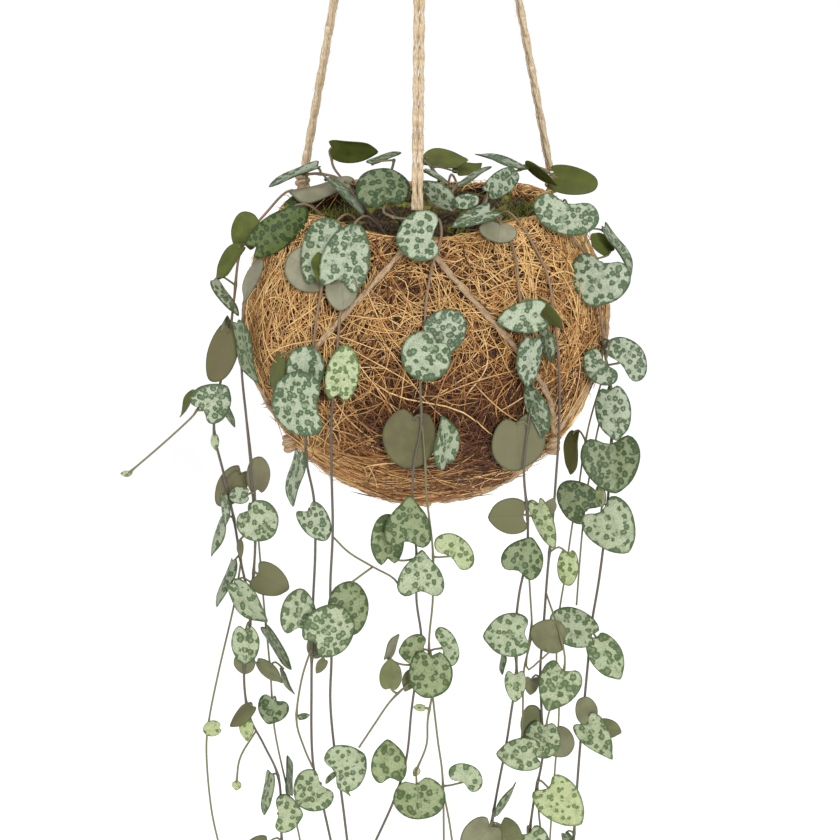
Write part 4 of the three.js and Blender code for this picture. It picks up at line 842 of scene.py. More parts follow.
def make_hanger():
    """Legs, net cords and base cords follow the solids' lines, and knots stand where the solids' knots are.
    A net cord falls evenly while it turns to its low knot, and a base cord swings in under the ball. The loop
    is a drop: across = sin t, wider towards its top, and up = (1 - cos t) / 2."""
    jute = [jute_finish()]
    strand = mm(hanger().strand)
    low, high = NET_END - mm(hanger().low_knot), mm(hanger().knot_rise) - NET_TOP
    for i, (name, turn) in enumerate(LEG_TURNS.items()):
        knot_at = rim_knot(turn)
        down = unit(knot_at - apex())
        side = polar(1, turn, 0)
        foot = turn + np.pi / 3
        for hand, sign in HANDS.items():
            beside = side * sign * BESIDE * strand
            start = apex() + polar(LEG_SPREAD, turn - np.pi / 2 + sign * np.pi / 6, -LEG_DEPTH)
            leg = [start, knot_at * 0.35 + apex() * 0.65 + beside, knot_at - down * LEG_PAST + beside]
            twine(jute, f"leg_{name}_{hand}", leg, strand * 0.45, 0.0, 10 * i + sign, 1.6)
            t = np.arange(7) / 6
            a = turn + sign * (0.028 + (np.pi / 3 - 0.063) * t ** 0.92)
            net = on_ball(a, high + (low - high) * t, strand / 2 + 0.5)
            twine(jute, f"net_cord_{name}_{hand}", net, strand * 0.47, 0.8, 40 + 10 * i + sign, 1.3)
            t = np.arange(5) / 4
            a = foot + sign * (0.032 + 0.488 * t ** 2)
            lift = strand / 2 + 0.45 + 1.75 * t ** 3
            base = by_latitude(a, BASE_START + (BASE_END - BASE_START) * t, lift)
            twine(jute, f"base_cord_{name}_{hand}", base, strand / 2, 0.8, 70 + 10 * i + sign)
        knot(jute, "rim_knot", f"rim_knot_{name}", knot_at, i)
        knot(jute, "low_knot", f"low_knot_{name}", on_ball(foot, -mm(hanger().low_knot), 3.9), i)
    knot(jute, "base_knot", "base_knot", np.array([0, 0, -mm(ball().radius) - 3.6]), 5)
    knot(jute, "top_knot", "top_knot", apex(), 5)
    t = np.linspace(0, 2 * np.pi, 49)
    up = (1 - np.cos(t)) / 2
    low, high = apex()[2] + LOOP_FOOT + LOOP_RADIUS, mm(ball().drop) + LOOP_RADIUS
    across = LOOP_REACH * np.sin(t) * (0.7 + 0.3 * up)
    ring = np.stack([across, 0 * t, low + (high - low) * up], axis=-1)
    twine(jute, "hanging_loop", ring, LOOP_RADIUS, 0.1, 99)


# The vines: a drawing plane through the ball's centre leans back, and each vine is laid out on it. Along a
# leaf its stalk leaves at NOTCH, its rings close at POLE and the row's place is at MIDDLE. Leaves over the
# ball turn to its skin, and a vine swings from the skin to its hanging line within FALL below the waist

LEAN = np.radians(15)
RIGHT = np.array([1.0, 0, 0])
UP = np.array([0, np.sin(LEAN), np.cos(LEAN)])
BACK = np.array([0, -np.cos(LEAN), np.sin(LEAN)])
AWAY = 1200.0

# Where the camera stands, from the ball's centre
EYE = -1.6 * RIGHT - 40 * UP + AWAY * BACK

NOTCH, POLE, MIDDLE = 0.1, 0.4, 0.45
STEM_STEP = 2.4
OVER_BALL, OVER_LOW = 68, -52
SKIN_GAP, FALL = 5, 25
FOLD = {"m": 0.22, "d": 0.18, "e": 0.18, "g": 0.3, "y": 0.3, "o": 0.12, "u": 0.12, "b": 0.15}

# Outline forms: where the notch end lies, depth and spread of the notch, length of the point, and belly
FORMS = {
    "h": (-0.14, 0.24, 0.42, 0.05, 0.16),
    "r": (-0.06, 0.17, 0.26, 0.0, 0.02),
    "k": (-0.2, 0.32, 0.5, 0.0, 0.08),
    "p": (-0.14, 0.24, 0.4, 0.1, 0.3),
    "v": (0.0, 0.1, 0.3, 0.08, 0.05),
}


def hang_near(x, u, hang):
    """How near a vine hangs: on the ball's skin above its waist, and on an upright line below it."""
    radius = mm(ball().radius)
    skin = np.sqrt(max((radius + SKIN_GAP) ** 2 - x * x - u * u, 0)) - SKIN_GAP
    z = u * np.cos(LEAN) + skin * np.sin(LEAN)
    if z >= 0:
        return skin
    share = min(-z / FALL, 1)
    line = x + (hang - x) * share
    forward = np.sqrt(max(radius ** 2 - line * line, 0))
    return skin + ((forward + u * np.sin(LEAN)) / np.cos(LEAN) - skin) * share


def place(x, u, lift, hang):
    """A place on the drawing plane brought forward along its line of sight."""
    t = 1 - (hang_near(x, u, hang) + lift) / AWAY
    return EYE + (x * RIGHT + u * UP - EYE) * t


def spin(v, axis, angle):
    """A vector turned about an axis."""
    level = axis * np.dot(axis, v) * (1 - np.cos(angle))
    return v * np.cos(angle) + np.cross(axis, v) * np.sin(angle) + level


def blade_frame(row, centre):
    """A blade's heading, side and normal from its tip angle and roll. Over the ball it turns to the skin."""
    x, u, _, _, _, tip, roll, kind = row
    normal = BACK
    if np.hypot(x, u) < OVER_BALL and u > OVER_LOW:
        normal = unit(normal + (unit(centre) - normal) * 0.7)
    a = np.radians(tip)
    along = np.cos(a) * RIGHT + np.sin(a) * UP
    along = unit(along - normal * np.dot(along, normal))
    normal = spin(normal, along, np.radians(roll))
    side = unit(np.cross(normal, along))
    return (along, -side, -normal) if kind[0] in "oub" else (along, side, normal)


def nearest(lines, point):
    """The point of the stems nearest to a place, and which stem and step it is."""
    gaps = [np.linalg.norm(line - point, axis=1) for line in lines]
    k = int(np.argmin([g.min() for g in gaps]))
    return lines[k][gaps[k].argmin()], k, int(gaps[k].argmin())


# A blade's points round its outline; its rings' shares of the outline, and whether each lies above or below
AROUND = 32
SHARES = [0.22, 0.45, 0.65, 0.82, 0.93, 1.0, 1.012, 1.0, 0.93, 0.76, 0.5, 0.22]
FACES = [1, 1, 1, 1, 1, 1, 0, -1, -1, -1, -1, -1]


def add_leaf(pile, row, frame_of, centre, stem, random):
    """A heart-shaped leaf. Its outline at angle t: across = sin t (1 + belly cos t), along = a cosine from
    the notch end to the tip with a bell-shaped notch and a small point, by the values of its form. Rings
    shrink it towards its middle, the height folds it at the midrib and bends it back along its length, and
    the thickness is an ellipse across the rings. A stalk runs from the notch to the stem."""
    along, side, normal = frame_of
    _, u, _, length, width, _, _, (kind, form) = row
    fold = FOLD[kind] * random.uniform(0.5, 1.0)
    t = turns(AROUND)
    t = np.where(t > np.pi, t - 2 * np.pi, t)
    back, notch, spread, point, belly = FORMS[form]
    wide = np.sin(t) * (1 + (belly + random.uniform(-0.05, 0.05)) * np.cos(t))
    wide /= 2 * np.abs(wide).max()
    spread *= random.uniform(0.9, 1.12)
    far = back + (1 - point - back) * (0.5 - 0.5 * np.cos(t)) + notch * np.exp(-(t / spread) ** 2)
    far += point * np.exp(-((np.pi - np.abs(t)) / 0.3) ** 2)
    for depth, bays in ((0.012, 2), (0.008, 5)):
        far += depth * np.sin(bays * t + random.uniform(0, FULL_TURN))
    wide = wide * (1 + 0.05 * random.uniform(-1, 1) * np.sign(t))
    rho = np.array(SHARES)[:, None]
    out, share = rho * wide, POLE + rho * (far - POLE)
    crease = np.sqrt(out ** 2 + 0.03 ** 2) - 0.03
    waves = 0.018 * np.sin(3 * t + random.uniform(0, FULL_TURN)) * rho ** 3
    droop, cup = random.uniform(0.02, 0.18), random.uniform(0.0, 0.32)
    height = fold * width * crease - droop * length * (share - MIDDLE) * np.abs(share - MIDDLE) * 2
    height += waves * length - cup * width * (2 * out) ** 2 * 0.5
    half = mm(plant().thickness) / 2 * np.sqrt(np.maximum(1 - (0.94 * rho) ** 2, 0.04))

    def put(s, o, h):
        s, o, h = (np.asarray(v)[..., None] for v in (s, o, h))
        return centre + along * (s - MIDDLE) * length + side * o * width + normal * h

    middle = droop * length * (MIDDLE - POLE) ** 2 * 2
    poles = put([POLE, POLE], [0, 0], [middle + half[0, 0], middle - half[0, 0]])
    places, fours, threes = closed_rings(put(share, out, height + np.array(FACES)[:, None] * half), *poles)
    grow, shift = random.uniform(0.85, 1.25), random.uniform(0, 40, 2)
    flat = np.stack([out * width, (share - POLE) * length], axis=-1).reshape(-1, 2) * grow / FLAT_UNIT
    flat = np.vstack([[0, 0], flat, [0, 0]]) + shift
    reach = np.concatenate([[0], np.repeat(np.minimum(rho[:, 0], 1), AROUND), [0]])
    rib = np.concatenate([[0], (np.abs(out) + (share < NOTCH)).ravel(), [0]])
    tone = random.uniform(0, 1)
    low = np.clip(-(u + 30) / 120, 0, 1) if u else 0
    # dark turns a face to the deep colours: on d and e leaves partly their own deeper green and partly
    # painted shade; other leaves get a little more the lower they hang.
    dark = {"e": 1.0, "d": 0.7, "g": 0.6}.get(kind, random.uniform(0, 0.1) + 0.12 * low)
    youth = {"y": random.uniform(0.42, 0.67) + 0.33 * low, "g": 0.15,
             "u": random.uniform(0.6, 1.0) - 0.35 * low}.get(kind, random.uniform(0, 0.12) + 0.3 * low)
    pale = {"b": 0.95, "u": 0.7 * low,
            "o": random.uniform(0, 0.35) + 0.3 * low}.get(kind, random.uniform(0.1, 0.4))
    under = np.arange(len(SHARES) - 1) >= len(SHARES) // 2
    slots4, slots3 = np.repeat(under, AROUND), np.repeat([0, 1], AROUND)
    pile.add(places, fours, threes, flat=flat, slots4=slots4, slots3=slots3, rim=reach, rib=rib, tone=tone,
             dark=dark, young=youth, pale=pale)
    neck = put(max(NOTCH, back + notch) + 0.01, 0, middle - 0.1)
    gap = np.linalg.norm(stem - neck)
    bow = (neck + stem) / 2 - along * 0.2 * gap + [0, 0, 0.12 * gap]
    path = smooth_line([neck + along * 0.03 * length, neck, bow, stem], 1.3)
    end = np.minimum(run(path), run(path)[-1] - run(path))
    tube(pile, path, mm(plant().stalk) * (1 + 0.35 * np.exp(-(end / 1.2) ** 2)), 6, 2,
         young=0.55 if kind in "yg" else 0.25 + 0.3 * tone)


def spray_root(first, reach):
    """Where a stem rises from the soil: three points outwards and over the rim, towards its first point."""
    a, soil = np.arctan2(first[1], first[0]), mm(ball().soil)
    spots = [(reach, soil - 3), (reach + 4, soil + 4.5), (max(reach + 14, 48), 50.5)]
    return [polar(r, a, z) for r, z in spots]


def leaf_pile():
    """An empty pile with the values that leaves and stems carry."""
    return Pile("rim", "rib", "tone", "dark", "young", "pale", "dry")


def add_stem(pile, line, radius, joints, young):
    """A stem: a tube that swells a little where leaf stalks join it."""
    swell = np.zeros(len(line))
    for joint in joints:
        swell += np.exp(-((np.arange(len(line)) - joint) / 0.8) ** 2)
    radius = radius * (1 + 0.45 * np.minimum(swell, 1))
    dry = ease((line[:, 2] + 30) / 60) * ease((np.hypot(line[:, 0], line[:, 1]) - 20) / 30) * 0.75
    tube(pile, line, radius, 6, 2, young=young, dry=dry)


def rows(text):
    """Rows from text: commas part the rows, spaces part a row's numbers and letters."""
    return [[item if item.isalpha() else float(item) for item in row.split()] for row in text.split(",")]


def make_spray(name, hang, stems, leaves, finishes, seed):
    """One spray: rooted stems, thin side stems that leave the nearest stem, and leaves on their stalks."""
    random = np.random.default_rng(seed)
    lines, crown = [], None
    for kind, reach, route in stems:
        points = [place(*spot, hang) for spot in rows(route)]
        if kind == "thin":
            points[0] = nearest(lines, points[0])[0]
        else:
            start = spray_root(points[0], reach)[:2 if kind == "short" else 3]
            crown = start[0] if crown is None else crown
            points = [crown, *start[1:], *points]
        lines.append(smooth_line(points, STEM_STEP))
    joints = [[] for _ in lines]
    pile = leaf_pile()
    for row in rows(leaves):
        centre = place(*row[:3], hang)
        frame_of = blade_frame(row, centre)
        neck = centre + frame_of[0] * (NOTCH - MIDDLE) * row[3]
        at, k, step = nearest(lines, neck)
        joints[k].append(step)
        add_leaf(pile, row, frame_of, centre, at, random)
    for (kind, _, _), line, spots in zip(stems, lines, joints):
        radius, young = (plant().thin, 0.45) if kind == "thin" else (plant().stem, 0.06)
        add_stem(pile, line, mm(radius), spots, young)
    pile.piece(f"{name}_vines", finishes, [name], "leaf")


# Back vines: height of the top point, spacing down the vine, lift off the wrap, and where they root
BACK_TOP, BACK_STEP, BACK_LIFT, BACK_ROOT = 36, 21, 6, 34


def make_back_spray(name, turn, drop, seed, finishes):
    """A short vine on the unseen back, with leaves in pairs placed by a rule with seeded variation."""
    draw, random = seeded(seed), np.random.default_rng(seed)
    radius = mm(ball().radius)

    def along(z, lift):
        a = turn + 0.05 * np.sin(z * 0.06 + seed)
        ring = np.sqrt(max((radius + lift) ** 2 - max(z, 0) ** 2, 0))
        return np.array([np.sin(a) * ring, -np.cos(a) * ring, z])

    points = [along(z, BACK_LIFT) for z in np.arange(BACK_TOP, -drop, -BACK_STEP)]
    lines = [smooth_line(spray_root(points[0], BACK_ROOT) + points, STEM_STEP)]
    joints, pile = [], leaf_pile()
    for z in np.arange(BACK_TOP - 10, -drop + 14, -BACK_STEP):
        for hand in (-1, 1):
            length = (15 + 4 * draw()) * random.uniform(0.75, 1.05)
            width = length * (0.85 + 0.15 * draw())
            down = 3 * draw() + 6 * random.random() - 2
            centre = along(z - down, BACK_LIFT + 4 + 3 * draw())
            out = unit(centre * [1, 1, 1 if centre[2] > 0 else 0])
            level = unit(np.cross([0, 0, 1], out))
            centre = centre + level * hand * (9 + 2 * draw() - 3 * random.random())
            tip = np.array([0, 0, -0.8]) + random.uniform(0.1, 1.1) * hand * level + out * 0.2 * draw()
            tip = unit(tip - out * 0.8 * np.dot(tip, out))
            normal = out + level * hand * 0.25
            normal = unit(normal - tip * np.dot(normal, tip))
            side = unit(np.cross(normal, tip))
            neck = centre + tip * (NOTCH - MIDDLE) * length
            at, _, step = nearest(lines, neck)
            joints.append(step)
            kind = random.choice(["mh", "mr", "mk", "dh", "yr"])
            row = (0, 0, 0, length, width, 0, 0, kind)
            add_leaf(pile, row, (tip, side, normal), centre, at, random)
    add_stem(pile, lines[0], mm(plant().stem), joints, 0.06)
    pile.piece(f"{name}_vines", finishes, [name], "leaf")


# Name, turn, drop, seed
BACK_SPRAYS = [
    ("spray_back_right", 2.42, 52, 11),
    ("spray_back_mid_right", 2.9, 74, 23),
    ("spray_back_mid_left", 3.42, 76, 37),
    ("spray_back_left", 3.88, 50, 53),
]

# Name, hanging line, stems and leaves. A stem is rooted, short and rooted, or a thin side stem; then come how
# far from the axis it roots and its route, as x, u and lift on the drawing plane. A leaf's row is x, u, lift,
# length, width, tip angle, roll and two letters. The first: m marbled, d dark marbled, e deep green, g green,
# y young, o olive underside, u green underside, b beige underside; the darkness of d and e leaves is partly
# their own deeper green and partly painted shade. The second: h heart, r round, k kidney, p pointed, v oval
SPRAYS = [
    ("crown_left", -40, [
        ("short", 22, """-26 47 -8, -33 56 -14, -42 58.5 -6, -48.5 58 11"""),
        ("short", 22, """-26 49 -16, -34 58 -20, -36.5 62 -20, -37 66 -20"""),
        ("short", 16, """-18 48 -4, -13 60 -8, -12 64 -10"""),
    ], """-50 58.5 18 23 14 199 71 mv, -39.5 53 -8 28 18.5 172 20 bv, -30 68.5 -18 21 15 356 58 uv,
        -33.5 51.5 3 29.5 19 314 -73 mv, -16 52.5 5 19 21 105 10 dr, -16.5 64.5 -14 15.5 9.5 52 -14 gv,
        -52 46.5 -6 12.5 8.5 222 46 ev"""),
    ("crown_middle", 10, [
        ("short", 8, """4 47 2, 6 56 -6, 3 61 -14"""),
        ("short", 14, """12 44 0, 11 50 2, 13 54 0"""),
    ], """7 64 -18 19 12.5 352 6 uv, 17 60 -22 14 9 47 -8 uv, 4 57.5 -2 13 10 321 -44 mv,
        18.5 56.5 2 21.5 12.5 49 -54 mv, 6.5 49.5 8 18 11.5 138 -75 mv, 16.5 47.5 6 10.5 6 14 40 mr"""),
    ("crown_right", 50, [
        ("short", 26, """24 46 -2, 28 54 -6, 38 60 -8, 46 61 3, 50 59 3"""),
        ("short", 26, """22 43 6, 25 44 9, 31 41 9"""),
    ], """30.5 54.5 2 23 9.5 46 24 mr, 20.5 41 15 18.5 14.5 205 44 mp, 32.5 63 -10 22.5 14 162 74 mv,
        45.5 59 -2 17 11 329 75 uv, 59 56 4 19.5 12 351 20 uk, 30 35.5 9 8.5 14.5 256 14 br"""),
    ("spray_far_left", -73, [
        ("rooted", 40, """-63 43 2, -73 29 6, -76 8 10, -78 -8 14, -82 -28 16, -84 -44 14, -80 -62 10,
            -76 -80 6, -73 -98 4, -70 -110 4"""),
        ("thin", 0, """-82 -38 16, -89 -34 18, -93 -39 20, -105 -50 22, -119 -62 22"""),
        ("thin", 0, """-73 -96 4, -76 -114 6, -82 -140 8, -86 -160 8, -87 -174 8, -85 -196 8, -81 -214 8"""),
    ], """-71.5 35 6 15 12 87 10 ur, -77 24 12 18 13 237 55 uv, -80 10.5 16 18.5 11 312 -67 mv,
        -80.5 -12 16 24.5 12 254 10 or, -79.5 -3 13 9 6.5 71 64 gv, -84.5 -32.5 22 15 16 44 8 mh,
        -94 -32.5 18 13 8 251 70 uv, -77.5 -37.5 14 10.5 6.5 290 62 gv, -83.5 -48.5 16 7 3.5 272 20 yv,
        -76.5 -66 4 18 12 238 16 or, -82.5 -85.5 10 17.5 11 246 69 mv, -79.5 -74.5 12 13.5 8.5 272 60 mv,
        -79 -103.5 8 22 13.5 247 73 mv, -119 -61.5 22 4.5 2.5 175 20 yv,
        -84.5 -163.5 11 7.5 6.5 188 10 yr"""),
    ("spray_left", -66, [
        ("rooted", 36, """-58 40 9, -67 24 9, -72 4 8, -73 -18 6, -71 -40 4, -69 -62 2, -67.5 -86 0,
            -68.5 -106 0, -70 -126 2, -72 -142 4, -70 -158 4, -64 -170 3, -58 -184 2, -57 -206 2,
            -56 -226 2"""),
        ("thin", 0, """-70 -30 4, -68.5 -60 -4, -66 -90 -6, -64 -114 -6, -61.5 -140 -5, -60 -162 -4,
            -56 -182 -4, -50 -206 -4, -47 -226 -4"""),
        ("thin", 0, """-70 -165 4, -73.5 -175 5, -75 -185 5"""),
    ], """-59.5 35 16 27.5 13.5 36 12 er, -68 17 12 19.5 12 251 62 bv, -71.5 -11 12 27 17.5 279 66 gv,
        -66.5 -62.5 -3.5 14.5 9.5 88 14 or, -73.5 -70 6 8 8 182 30 mr, -66.5 -80 7 15.5 17 314 8 mr,
        -73.5 -91 4 8 5 275 58 ov, -61.5 -104 2 15.5 13.5 335 10 oh, -71 -111.5 5 23 16 302 48 mv,
        -71.5 -129 9 15.5 11.5 267 12 mr, -72 -137 0 8.5 9 288 14 or, -62.5 -140 2 14.5 10 325 52 uv,
        -55 -143.5 0 12.5 8 289 74 gv, -59.5 -129.5 0 22 14.5 298 68 gv, -60.5 -156 2 11 13 251 10 gh,
        -72 -157.5 8 13.5 8 226 42 ov, -71 -163 8 10 6.5 272 23 yv, -62.5 -188 4 19 12.5 254 67 mv,
        -54 -183.5 -2 17.5 11.5 87 77 gv, -54.5 -198 6 11 16.5 358 12 mh, -75 -186 5 4 4 268 20 yv,
        -66 -213 6 15 13 230 24 or, -55 -222 2 17 14 282 14 mh"""),
    ("spray_front_left_high", -42, [
        ("rooted", 34, """-38 34 5, -40 18 5, -43 0 5, -45 -18 5, -47 -40 5, -47 -56 5, -44 -72 4,
            -43.5 -92 3, -44.5 -116 2, -45 -146 2, -44.5 -176 2, -40 -196 2, -36 -214 2"""),
        ("thin", 0, """-47 -130 3, -49 -144 3, -51 -160 3, -48 -171 3, -44.5 -179 2"""),
    ], """-31.5 24 12 25.5 18.5 77 10 mk, -40 26.5 7 26.5 18.5 90 10 mr, -45.5 20 4 20.5 18.5 150 8 br,
        -32.5 12 9 14 14 280 14 br, -41 20 14 12.5 10.5 110 61 uv, -47.5 -19.5 10 15.5 15 87 12 mr,
        -58.5 -19.5 6 15.5 12.5 238 32 uv, -50 -34 14 22 25 186 6 mk, -51 -61.5 8 23 14.5 254 64 mv,
        -43.5 -80.5 6 15 11.5 304 8 mk, -50 -117 6 17 14 89 8 mk, -42.5 -130 0 9.5 8.5 264 14 or,
        -41 -138 4 7 4 239 14 uv, -45 -189 6 14 17.5 218 8 mh, -48.5 -158.5 3 5 3 6 30 gv"""),
    ("spray_front_left_low", -34, [
        ("rooted", 30, """-30 33 6, -33 8 5.5, -35 -16 5.5, -37 -40 6, -37 -60 6, -36.5 -84 8, -37.5 -108 8,
            -37 -134 8, -37.5 -152 8, -36 -170 8, -33 -190 8, -30 -214 8"""),
        ("thin", 0, """-36.5 -86 8, -30 -93 9, -20 -99 10, -12 -103.5 10, -8 -110 10"""),
        ("thin", 0, """-19 -98 10, -25 -102 12, -29 -105 12"""),
    ], """-33 -22.5 13 21 12.5 76 12 yr, -38.5 -124.5 15 19.5 19.5 42 8 mr, -30.5 -116 9 20.5 16 85 12 dr,
        -31 -178 14 15 19 27 8 mh, -32 -186.5 9 8.5 6 294 68 yv, -37 -183 9 6 4 222 62 gv"""),
    ("spray_front_centre", 0, [
        ("rooted", 30, """7 34 5, 3.5 22 7.5, 1 8 6.5, 0 -8 5.5, -1.5 -24 7, -1 -42 9, -4 -58 8, -4.5 -74 5,
            -3 -94 5, -3 -112 5, -1 -128 5, -3 -142 6, -5 -156 6, -7 -175 6, -12 -192 6, -22 -214 6"""),
        ("thin", 0, """-1 -40 8.5, 0.5 -56 9.5, 1 -70 9, 3.5 -92 9, 3.5 -112 9, 2 -130 9, 3.5 -150 9,
            5.5 -168 9, 7.5 -184 9, 8 -214 9"""),
        ("thin", 0, """3 -150 9, 1.5 -160 9, 1 -170 9, -3 -180 9"""),
        ("thin", 0, """-6 -142 6, -13 -152 7, -20 -162 7, -26 -171 7"""),
        ("thin", 0, """8 -188 9, 10 -200 9, 12 -214 9"""),
    ], """9 -4 10 15 16 40 8 mk, 1 -14 14 17.5 19 231 8 mr, -5 -46.5 5 23 20.5 262 8 or,
        8.5 -50 10 21 16 90 51 mv, -6 -81.5 12 19 18 85 10 dp, -14.5 -88.5 6 19 13 90 16 dr,
        12.5 -92 8 9.5 18 51 14 yk, -1 -102 15 17 18 88 8 mp, -4 -132 8 10.5 12.5 184 14 dh,
        9.5 -130.5 8 7 16.5 20 14 mk, 2.5 -141 15 18 17 266 8 dr, -13.5 -142.5 8 13 9 90 14 uv,
        -5.5 -143.5 2 9.5 6 250 20 ov, -13 -131.5 3 12 7.5 71 62 bv, -14 -177 9 16 14 92 10 dh,
        -2 -191 13 16 20.5 280 8 dr, 17 -182.5 8 8.5 14.5 58 10 mk, -1.5 -155 9 5 3 174 30 yv,
        -3 -180.5 9 4 3 240 30 yv"""),
    ("front_rim_leaf", 0, [
        ("short", 20, """-15 45 0, -16 43 8, -12 41 18"""),
    ], """-2 33.5 17 15.5 20.5 180 6 mk"""),
    ("spray_front_right_high", 42, [
        ("rooted", 30, """36 28 5, 38 12 5, 41 -8 6, 43 -28 6, 41 -48 6, 40 -62 6, 41.5 -80 6, 41 -95 6,
            38 -110 6, 36.5 -126 6, 37 -142 6, 35 -156 6, 32.5 -172 6, 29 -190 6, 25 -214 6"""),
        ("thin", 0, """41 -92 6, 42.5 -110 0, 43 -126 0, 40 -140 1, 39.5 -158 2, 39 -172 2"""),
        ("thin", 0, """43.5 -120 0, 41 -139 14, 46 -136.5 16, 51 -132 16"""),
    ], """40 1 10 19.5 12.5 188 10 mh, 49 3.5 8 16 9.5 326 72 uv, 49 -9 8 15 9.5 281 82 mv,
        42.5 -15 13 20 14.5 270 -26 mv, 45 -35.5 11 23.5 16 286 81 mv, 37.5 -48 3.5 23 21 284 8 or,
        34 -78.5 8 15 14 183 10 oh, 48 -81 10 20 10 286 40 yh, 50 -75 4 7.5 5.5 67 26 ov,
        40 -95 14 15 16.5 66 8 dh, 33.5 -126 12 17.5 17 183 8 mh, 31.5 -137 6 9 5.5 259 68 gv,
        36.5 -146 11 12 8.5 269 10 mh, 38.5 -173.5 12 17 13 179 10 mh, 43 -161.5 -5 14 9 86 12 ur,
        32 -193 12 16.5 10 56 72 gv, 23 -207 10 17 16 232 14 br, 33 -206 4 14 13 300 18 ur"""),
    ("spray_front_right_low", 50, [
        ("rooted", 34, """48 22 6, 52 2 6, 54 -20 6, 54 -44 5, 53 -60 4, 51.5 -80 3, 49.5 -100 2, 48 -120 2,
            46.5 -140 2, 47 -156 3, 47.5 -174 3, 44 -192 3, 41 -214 3"""),
        ("thin", 0, """43.5 -184 3, 46 -198 4, 48 -214 4"""),
        ("thin", 0, """48.5 -110 2, 55 -128 12, 56 -140 12, 50 -157 10, 48.5 -166 6"""),
    ], """57.5 -98.5 3 14 8.5 268 12 yr, 50.5 -126.5 10 14.5 13 164 12 ur, 53.5 -146.5 15 18.5 16.5 247 8 mh,
        43 -146 -2 7 6 267 14 uh, 47.5 -167.5 9 14.5 14.5 262 8 mr, 54 -168.5 2 12 12.5 297 12 ur,
        55 -193 11 22 17.5 312 8 yh, 44 -210 10 15 13 300 14 mh"""),
    ("spray_right", 68, [
        ("rooted", 38, """58 34 8, 66 24 10, 70 6 14, 72.5 -14 14, 75 -30 12, 75 -48 8, 74 -66 6, 72.5 -84 4,
            70 -104 3, 67 -122 2, 65.5 -138 2, 64 -154 2, 62.5 -170 2, 61 -190 2, 59.5 -214 2"""),
        ("thin", 0, """73.5 -20 10, 67 -38 1, 64 -52 0, 62 -66 0, 59 -84 0, 56.5 -102 0, 54 -118 0, 53 -136 0,
            54 -156 0, 52.5 -178 0, 51 -198 0, 50 -214 0"""),
        ("thin", 0, """74.5 -24 10, 69.5 -44 5, 67 -58 4, 65 -70 2, 63 -88 0, 61 -114 -2"""),
    ], """56 42 26 13.5 25.5 254 4 mk, 76.5 29.5 32 24 15.5 308 -71 mv, 71.5 30 27 11.5 8.5 141 26 uv,
        69.5 16 20 19 23.5 252 8 mh, 81 -14.5 28 11.5 20.5 45 10 mk, 70 -19.5 22 9.5 16.5 220 10 mk,
        75.5 -36 16 22.5 14.5 276 16 mv, 75.5 -57 12 22 23.5 276 8 gh, 60 -51.5 -4 19 14 272 69 uv,
        61 -72.5 6 16.5 16 134 12 dk, 71 -70 8 10 7 271 60 yv, 75 -83 12 22 20.5 303 8 mh,
        60.5 -123 8 20 15.5 155 12 mr, 72.5 -133.5 8 22 13.5 299 14 mv, 65 -156.5 6 11 9.5 103 14 ur,
        69 -167 8 20.5 13 305 12 mp, 73.5 -163 0 10.5 8.5 340 20 uv, 58 -209 2 12 7 290 50 gv"""),
]


# Operators

FIRST_SEED = 200
FLOOR_CORNERS = [(-40, -40), (40, -40), (40, 40), (-40, 40)]
SENSOR, LENS = 36, 128.57


class PLANT_OT_coir_wall(bpy.types.Operator):
    """Make the matted wall of the coconut-fibre ball"""
    bl_idname = "plant.coir_wall"
    bl_label = "Coconut-fibre wall"

    def execute(self, context):
        make_coir_skin()
        return {"FINISHED"}


class PLANT_OT_coir_fibres(bpy.types.Operator):
    """Make the layers of loose coconut fibres"""
    bl_idname = "plant.coir_fibres"
    bl_label = "Coconut fibres"

    def execute(self, context):
        make_coir_fibres()
        return {"FINISHED"}


class PLANT_OT_moss(bpy.types.Operator):
    """Make the moss cushion and finish the soil"""
    bl_idname = "plant.moss"
    bl_label = "Moss and soil"

    def execute(self, context):
        make_moss()
        return {"FINISHED"}


class PLANT_OT_hanger(bpy.types.Operator):
    """Make the jute hanger's strands, knots and loop"""
    bl_idname = "plant.hanger"
    bl_label = "Jute hanger"

    def execute(self, context):
        make_hanger()
        return {"FINISHED"}


class PLANT_OT_vines(bpy.types.Operator):
    """Make the trailing vines all round the ball"""
    bl_idname = "plant.vines"
    bl_label = "Vines"

    def execute(self, context):
        finishes = [leaf_face(), leaf_back(), stem_finish()]
        for i, (name, hang, stems, leaves) in enumerate(SPRAYS):
            make_spray(name, hang, stems, leaves, finishes, FIRST_SEED + i)
        for name, turn, drop, seed in BACK_SPRAYS:
            make_back_spray(name, turn, drop, seed, finishes)
        return {"FINISHED"}


class PLANT_OT_stage(bpy.types.Operator):
    """Make the floor, the soft lights and the camera"""
    bl_idname = "plant.stage"
    bl_label = "Stage"

    def execute(self, context):
        make_stage()
        return {"FINISHED"}


def make_floor(s):
    """A wide level floor."""
    mesh = bpy.data.meshes.new("floor")
    corners = [(x, y, -s.floor_depth) for x, y in FLOOR_CORNERS]
    mesh.from_pydata(corners, [], [(0, 1, 2, 3)])
    f = Finish("Floor", 0.9, Emission_Color=(1, 1, 1, 1), Emission_Strength=s.glow)
    grain = f.noise(f.place(), 3.0, 2.0)
    mesh.materials.append(f.surface(f.fade(grain, 0.3, 0.7, s.floor, (0.9, 0.9, 0.9), (0.0, 0.02))))
    made = bpy.data.objects.new("floor", mesh)
    bpy.context.scene.collection.objects.link(made)


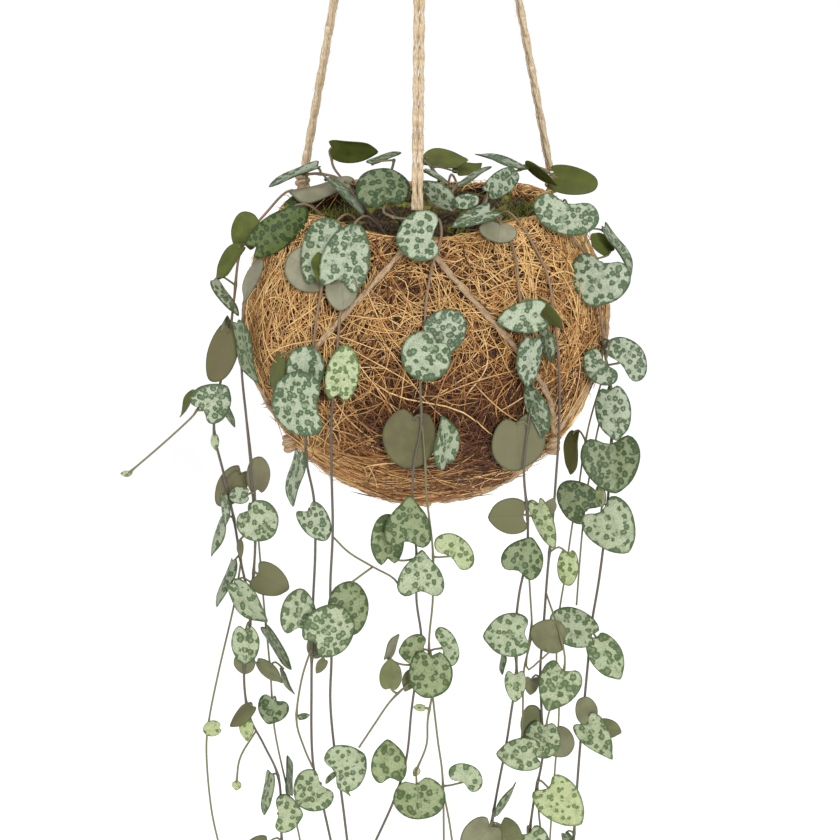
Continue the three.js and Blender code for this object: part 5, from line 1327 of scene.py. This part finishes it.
def soft_light(name, place_at, aim, power, wide, kind="AREA"):
    """A soft light turned towards its aim: square and wide across, or far away and wide by its angle."""
    lamp = bpy.data.lights.new(name, kind)
    lamp.energy = power
    setattr(lamp, "angle" if kind == "SUN" else "size", wide)
    made = bpy.data.objects.new(name, lamp)
    made.location = place_at
    made.rotation_euler = (Vector(aim) - Vector(place_at)).to_track_quat("-Z", "Y").to_euler()
    made.visible_camera = False
    bpy.context.scene.collection.objects.link(made)


def make_stage():
    """Floor, two soft lights in a white surround, and a camera square to the drawing plane."""
    s, scene = bpy.context.scene.plant_stage, bpy.context.scene
    make_floor(s)
    centre = np.array([0, 0, -ball().drop])
    toward = unit(np.array([0.2, -1.3, 0.4]))
    soft_light("key_light", tuple(centre + 2.0 * toward), tuple(centre), s.key, 0.14, "SUN")
    soft_light("top_light", (-0.3, -0.5, 1.5), tuple(centre), s.top, 1.6)
    world = bpy.data.worlds.new("Surround")
    world.use_nodes = True
    back = next(n for n in world.node_tree.nodes if n.type == "BACKGROUND")
    back.inputs["Color"].default_value = (1, 1, 1, 1)
    back.inputs["Strength"].default_value = s.sky
    scene.world = world
    scene.view_settings.view_transform = "Standard"
    lens = bpy.data.cameras.new("camera")
    lens.sensor_width, lens.lens = SENSOR, LENS
    camera = bpy.data.objects.new("camera", lens)
    camera.location = Vector(EYE * METRES) + Vector(centre)
    camera.rotation_euler = (np.pi / 2 - LEAN, 0, 0)
    scene.collection.objects.link(camera)
    scene.camera = camera


class PLANT_PT_panel(bpy.types.Panel):
    """The plant's settings and operators in the sidebar."""
    bl_label = "Hanging plant"
    bl_idname = "PLANT_PT_panel"
    bl_space_type = "VIEW_3D"
    bl_region_type = "UI"
    bl_category = "Hanging plant"

    def draw(self, context):
        for name in SETTINGS:
            box = self.layout.box()
            group = getattr(context.scene, name)
            for label in group.__annotations__:
                box.prop(group, label)
        for operator in OPERATORS:
            self.layout.operator(operator.bl_idname)


SETTINGS = {"plant_ball": BallSettings, "plant_hanger": HangerSettings, "plant_vines": PlantSettings,
            "plant_stage": StageSettings}
OPERATORS = [PLANT_OT_stage, PLANT_OT_coir_wall, PLANT_OT_coir_fibres, PLANT_OT_moss, PLANT_OT_hanger,
             PLANT_OT_vines]


def register():
    """Registers the settings, the operators and the panel."""
    for name, group in SETTINGS.items():
        bpy.utils.register_class(group)
        setattr(bpy.types.Scene, name, PointerProperty(type=group))
    for made in (*OPERATORS, PLANT_PT_panel):
        bpy.utils.register_class(made)


def unregister():
    """Takes the settings, the operators and the panel out again."""
    for made in (PLANT_PT_panel, *reversed(OPERATORS)):
        bpy.utils.unregister_class(made)
    for name, group in reversed(SETTINGS.items()):
        delattr(bpy.types.Scene, name)
        bpy.utils.unregister_class(group)


def main():
    """Registers everything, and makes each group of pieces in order."""
    register()
    for operator in OPERATORS:
        getattr(bpy.ops.plant, operator.bl_idname.split(".")[1])()


if __name__ == "__main__":
    main()
